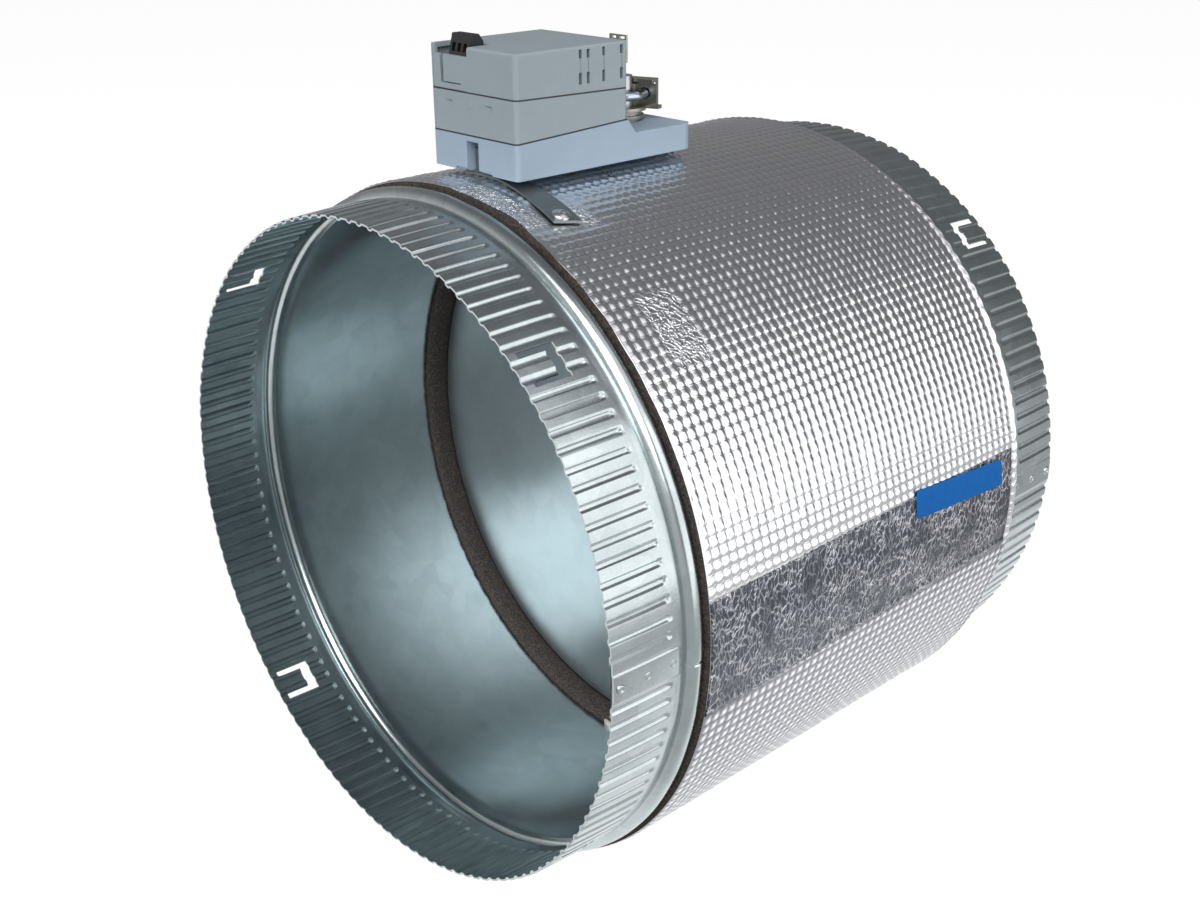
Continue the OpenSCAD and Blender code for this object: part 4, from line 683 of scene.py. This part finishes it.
def foil_quilt():
    """The quilted facing as one closed skin, with its uneven front edge and its rear edge drawn in."""
    inside = np.array(CELL_PLACES)
    angle = (np.arange(CELLS_ROUND)[:, None] + inside).ravel() * FULL / CELLS_ROUND
    cells = math.ceil((FOIL_STRAIGHT_END - FOIL_START) / CELL_LENGTH)
    places = FOIL_START + (np.arange(cells)[:, None] + inside).ravel() * CELL_LENGTH
    places = places[places < FOIL_STRAIGHT_END]
    columns = len(angle)
    arc = angle * FOIL_ARC
    edge_shift = 1.6 * bump(angle, 16.0, 2.0, 5.0)
    edge_shift = edge_shift + 0.3 * wobble(31, (60.0, 25.0), arc) * bump(angle, 0, 30, 40)

    def row(y, extra=0.0):
        fade = smooth(FOIL_START - 0.1, FOIL_START + 2.0, y)
        moved = y + edge_shift * (1 - smooth(FOIL_START, FOIL_START + 16.0, y))
        return around(FOIL_LOW_R + fade * foil_relief(angle, np.full(columns, y)) - extra, angle, moved)

    def drawn_in(t, extra=0.0):
        """A row of the rear edge, which is folded in over the bead; t runs from 0 to 1."""
        y = FOIL_STRAIGHT_END + (FOIL_END - FOIL_STRAIGHT_END) * t
        ripple = 0.12 * wobble(33, (12.0, 7.0), arc) * t
        shown = foil_relief(angle, np.full(columns, y)) * (1 - t)
        fold = 0.55 * math.sin(3 * math.pi * t) ** 2 * (t < 1)
        radius = FOIL_LOW_R + shown + fold - FOIL_DRAWN_IN * t ** 1.5 + ripple - extra
        return around(radius, angle, y + 0.25 * t * wobble(34, (9.0,), arc))

    rows = [row(FOIL_START)] + [row(y) for y in places]
    rows += [drawn_in(t) for t in np.linspace(0, 1, 25)[1:]]
    # Back along the inside
    inner = FOIL_LOW_R - FOIL_THICKNESS
    rows += [drawn_in(1.0, 0.25), drawn_in(0.4, FOIL_THICKNESS)]
    rows += [around(inner, angle, y) for y in (FOIL_STRAIGHT_END - 3.0, FOIL_START + 20.0)]
    rows.append(row(FOIL_START, 0.3))
    mesh = closed_band("foil_quilt", rows)
    add_object("foil_quilt", mesh, "foil_facing", "casing", ["foil_facing"])


def foil_tape():
    """The strip stuck over the facing's joint; the quilt shows faintly through it."""
    s = np.linspace(0, 1, 90)[None, :]
    y = np.linspace(TAPE_START, TAPE_END, 420)[:, None] + np.zeros_like(s)
    first, last = tape_edges(y)
    first = first + 0.075 * wobble(43, (7.0, 3.0), y[:, 0])[:, None]
    angle = first + (last - first) * s
    arc = angle * math.radians(1) * FOAM_R
    top = TAPE_R + 0.3 * foil_relief(angle, y) + 0.09 * np.abs(wobble(41, (16.0, 7.0, 4.0), arc, y * 0.7))
    # Creases across the tape
    for place, width in TAPE_CREASES:
        shape = place + 3.0 * (s - 0.25)
        top = top + 0.35 * np.exp(-(((y - shape) / width) ** 2)) * (1 - smooth(0.35, 0.6, s))
    # The lower edge stands off the quilt
    top = top + 0.45 * smooth(0.90, 0.93, s) - 0.75 * smooth(0.95, 1.0, s)
    bottom = np.full_like(top, FOIL_LOW_R + 0.05)
    mesh = closed_slab("tape_strip", around(top, angle, y), around(bottom, angle, y))
    add_object("tape_strip", mesh, "foil_tape", "casing", ["foil_tape"])


def size_label():
    """The blank blue sticker on the tape's edge, with rounded corners."""
    low, high = LABEL_ENDS
    v = np.linspace(0, 1, 90)[:, None]
    y = low + (high - low) * v
    inset = np.maximum(0, LABEL_CORNER - np.minimum(y - low, high - y))
    half = LABEL_HALF - LABEL_CORNER + np.sqrt(np.maximum(0, LABEL_CORNER ** 2 - inset ** 2))
    angle = LABEL_AT + LABEL_TURN * v + np.linspace(-1, 1, 26)[None, :] * half / FOAM_R / math.radians(1)
    y = y + np.zeros_like(angle)
    top = LABEL_R + 0.06 * wobble(45, (12.0, 7.0), y, angle * FOIL_ARC)
    mesh = closed_slab("label_sticker", around(top, angle, y), around(top - LABEL_THICKNESS, angle, y))
    add_object("label_sticker", mesh, "blue_label", "casing", ["size_label"])


def wall_seal():
    """The foam strip that the blade closes against."""
    columns = 900
    angle = np.arange(columns) * FULL / columns
    arc = angle * math.radians(1) * DUCT_R
    rows = []
    for y, radius in ((SEAL_FEET[0], SEAL_FOOT_R), *SEAL_SECTION, (SEAL_FEET[1], SEAL_FOOT_R)):
        rough = 0.28 * wobble(51, (11.0, 5.0, 2.3), arc, np.full(columns, y)) * (radius < SEAL_FOOT_R)
        rows.append(around(np.maximum(radius - 0.3 * rough, SEAL_INNER_R), angle, y + rough))
    mesh = closed_band("wall_seal", rows[::-1])
    add_object("wall_seal", mesh, "seal_strip", "casing", ["wall_gasket"])


# CAD nodes that keep their shape and get rounded edges


def dress(node, finish, bevel, body="casing"):
    """Copies a node's mesh, rounds its sharp edges and gives it a finish."""
    bm = bmesh.new()
    bm.from_mesh(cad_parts[node].data)
    bmesh.ops.remove_doubles(bm, verts=bm.verts, dist=2e-6)
    bmesh.ops.dissolve_limit(bm, angle_limit=math.radians(0.3), verts=bm.verts, edges=bm.edges)
    bm.verts.index_update()
    mesh = bpy.data.meshes.new(node + "_shell")
    mesh.from_pydata([tuple(v.co) for v in bm.verts], [], [[v.index for v in f.verts] for f in bm.faces])
    bm.free()
    mesh.shade_smooth()
    piece = add_object(mesh.name, mesh, finish, body, [node])
    rounding = piece.modifiers.new("rounding", "BEVEL")
    rounding.width = bevel * MM
    rounding.segments = 2
    rounding.limit_method = "ANGLE"
    rounding.angle_limit = math.radians(32.0)
    settle(piece, 50)
    piece.modifiers.new("even_shading", "WEIGHTED_NORMAL").keep_sharp = True


def dress_all():
    """Every CAD node that shows or lies inside, with its finish and the rounding of its edges."""
    casing = {
        "shaft_bushes": ("bush_plastic", 0.3), "anti_rotation_strap": ("dark_strap", 0.35),
        "strap_screw": ("screw_steel", 0.15), "actuator_base": ("base_plastic", 0.45),
        "actuator_middle_housing": ("housing_plastic", 0.35), "actuator_cover": ("housing_plastic", 0.3),
        "rear_clip": ("olive_zinc", 0.15), "terminal_block": ("terminal_plastic", 0.2),
        "terminal_screws": ("screw_steel", 0.1), "circuit_board": ("board_laminate", 0.1),
        "board_standoffs": ("brass", 0.1), "gear_plate": ("bright_steel", 0.15),
        "gear_axles": ("bright_steel", 0.1), "motor_body": ("bright_steel", 0.4),
        "housing_screws": ("screw_steel", 0.1),
    }
    blade = {
        "damper_shaft": ("shaft_steel", 0.3), "blade_front_disc": ("blade_sheet", 0.2),
        "blade_rear_disc": ("blade_sheet", 0.2), "blade_seal": ("blade_rubber", 0.4),
        "blade_rivets": ("rivet_aluminium", 0.25), "blade_bolts": ("screw_steel", 0.2),
        "blade_nuts": ("screw_steel", 0.2), "retaining_clip": ("spring_steel", 0.1),
        "output_hub": ("jaw_steel", 0.2), "output_gear": ("gear_plastic", 0.08),
        "clamp_bracket": ("olive_zinc", 0.25), "clamp_ubolt": ("zinc_blue", 0.2),
        "clamp_jaw": ("jaw_steel", 0.15), "clamp_washers": ("zinc_blue", 0.1),
        "clamp_nuts": ("zinc_blue", 0.2),
    }
    gears = {"reduction_gear_1": ("gear_1", "gear_plastic"), "reduction_gear_2": ("gear_2", "gear_plastic"),
             "motor_pinion": ("motor_rotor", "brass")}
    for node, (finish, bevel) in casing.items():
        dress(node, finish, bevel)
    for node, (finish, bevel) in blade.items():
        dress(node, finish, bevel, body="blade")
    for node, (body, finish) in gears.items():
        dress(node, finish, 0.06, body=body)


# Stage


def floor_finish():
    """A white floor that reads as the backdrop and keeps the object's shadow."""
    g = Graph("studio_floor")
    g.tree.nodes.remove(g.shader)
    # Its reflection falls off to pale grey outside the camera's field, and the camera sees all of it white
    past = [g.math("SUBTRACT", g.dot(g.place, across), edge)
            for across, edge in zip(FIELD_ACROSS, FIELD_EDGES)]
    fall = g.node("ShaderNodeMapRange", {"interpolation_type": "SMOOTHSTEP"}, Value=g.most(past),
                  From_Max=FIELD_SOFT, To_Min=FLOOR_LIFT, To_Max=FLOOR_LIFT * OUTSIDE_TONE)
    path = g.node("ShaderNodeLightPath").outputs
    plain = g.math("MULTIPLY", path["Is Camera Ray"], FLOOR_LIFT)
    # Metal shows the same backdrop as the camera
    shown = g.most([path[ray] for ray in ("Is Camera Ray", "Is Glossy Ray", "Is Transmission Ray")])
    strength = g.math("MULTIPLY", shown, g.math("MAXIMUM", plain, fall.outputs[0]))
    diffuse = g.node("ShaderNodeBsdfDiffuse", Color=(FLOOR_COLOUR, FLOOR_COLOUR, FLOOR_COLOUR, 1))
    add = g.node("ShaderNodeAddShader")
    g.feed(add.inputs[0], diffuse.outputs[0])
    g.feed(add.inputs[1], g.node("ShaderNodeEmission", Strength=strength).outputs[0])
    g.feed(g.tree.nodes["Material Output"].inputs["Surface"], add.outputs[0])
    return g.material


def studio_floor():
    low = min(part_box(node)[0].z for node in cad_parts)
    corners = [(x * FLOOR_REACH, y * FLOOR_REACH, low) for x, y in ((-1, -1), (1, -1), (1, 1), (-1, 1))]
    mesh = bpy.data.meshes.new("studio_floor")
    mesh.from_pydata(corners, [], [(0, 1, 2, 3)])
    mesh.materials.append(floor_finish())
    floor = bpy.data.objects.new("studio_floor", mesh)
    bpy.context.scene.collection.objects.link(floor)


def studio_world():
    """A soft studio: a light wall in front, dim sides, a dark ceiling and a bounce board above the right."""
    world = bpy.data.worlds.new("studio")
    bpy.context.scene.world = world
    world.use_nodes = True
    g = Graph(tree=world.node_tree, output="Background")
    parts = g.node("ShaderNodeSeparateXYZ", Vector=g.place)
    azimuth = g.math("ARCTAN2", parts.outputs["Y"], parts.outputs["X"])
    turn = g.math("MULTIPLY_ADD", azimuth, 0.5 / math.pi, 0.5)
    rise = g.math("MULTIPLY_ADD", g.math("ARCSINE", parts.outputs["Z"]), 1 / math.pi, 0.5)
    walls = g.ramp(turn, *[((azimuth + 180) / 360, level) for azimuth, level in HORIZON])
    fade = g.ramp(rise, *[((height + 90) / 180, level) for height, level in FADE])
    plain = g.mix(fade, (CEILING, CEILING, CEILING * 1.05), walls)
    azimuth, height = (math.radians(a) for a in BOUNCE)
    board = (math.cos(height) * math.cos(azimuth), math.cos(height) * math.sin(azimuth), math.sin(height))
    reach, core = (math.cos(math.radians(a)) for a in (BOUNCE_REACH, BOUNCE_CORE))
    white = g.node("ShaderNodeMapRange", {"interpolation_type": "SMOOTHSTEP"}, Value=g.dot(g.place, board),
                   From_Min=reach, From_Max=core)
    shown = g.mix(white.outputs[0], plain, BOUNCE_COLOUR)
    # The camera sees a plain pale backdrop
    g.set(Color=g.mix(g.node("ShaderNodeLightPath").outputs["Is Camera Ray"], shown, BACKDROP))


def softbox(name, at, aim, width, height, power):
    light = bpy.data.lights.new(name, "AREA")
    light.shape = "RECTANGLE"
    light.size = width
    light.size_y = height
    light.energy = power
    lamp = bpy.data.objects.new(name, light)
    lamp.location = at
    lamp.rotation_euler = (Vector(aim) - Vector(at)).to_track_quat("-Z", "Y").to_euler()
    lamp.visible_camera = False
    bpy.context.scene.collection.objects.link(lamp)


def studio_lights():
    """A wide box beside the duct, which the foil shows, and a large key light in front and above."""
    softbox("right_softbox", at=(0.90, 0.54, 0.32), aim=(0.0, 0.54, 0.32), width=1.28, height=0.96, power=5.0)
    softbox("key_softbox", at=(1.20, -1.80, 2.1), aim=(0.0, 0.10, 0.0), width=2.6, height=2.6, power=96.0)


def studio_camera():
    lens = bpy.data.cameras.new("camera")
    lens.sensor_width = SENSOR
    lens.lens = FOCAL_PX / IMAGE_WIDTH_PX * SENSOR
    lens.clip_start, lens.clip_end = 0.01, 50.0
    camera = bpy.data.objects.new("camera", lens)
    at, aim = Vector(CAMERA_AT) * MM, Vector(CAMERA_AIM) * MM
    camera.location = at
    camera.rotation_mode = "QUATERNION"
    turn = (aim - at).to_track_quat("-Z", "Y")
    camera.rotation_quaternion = turn @ Quaternion((0, 0, 1), math.radians(CAMERA_ROLL))
    bpy.context.scene.collection.objects.link(camera)
    bpy.context.scene.camera = camera


bpy.context.scene.view_settings.view_transform = "Standard"
studio_camera()
studio_world()
studio_lights()
studio_floor()
duct_wall()
seam_buttons()
foam_blanket()
foil_quilt()
foil_tape()
size_label()
wall_seal()
dress_all()

bpy.context.view_layer.update()
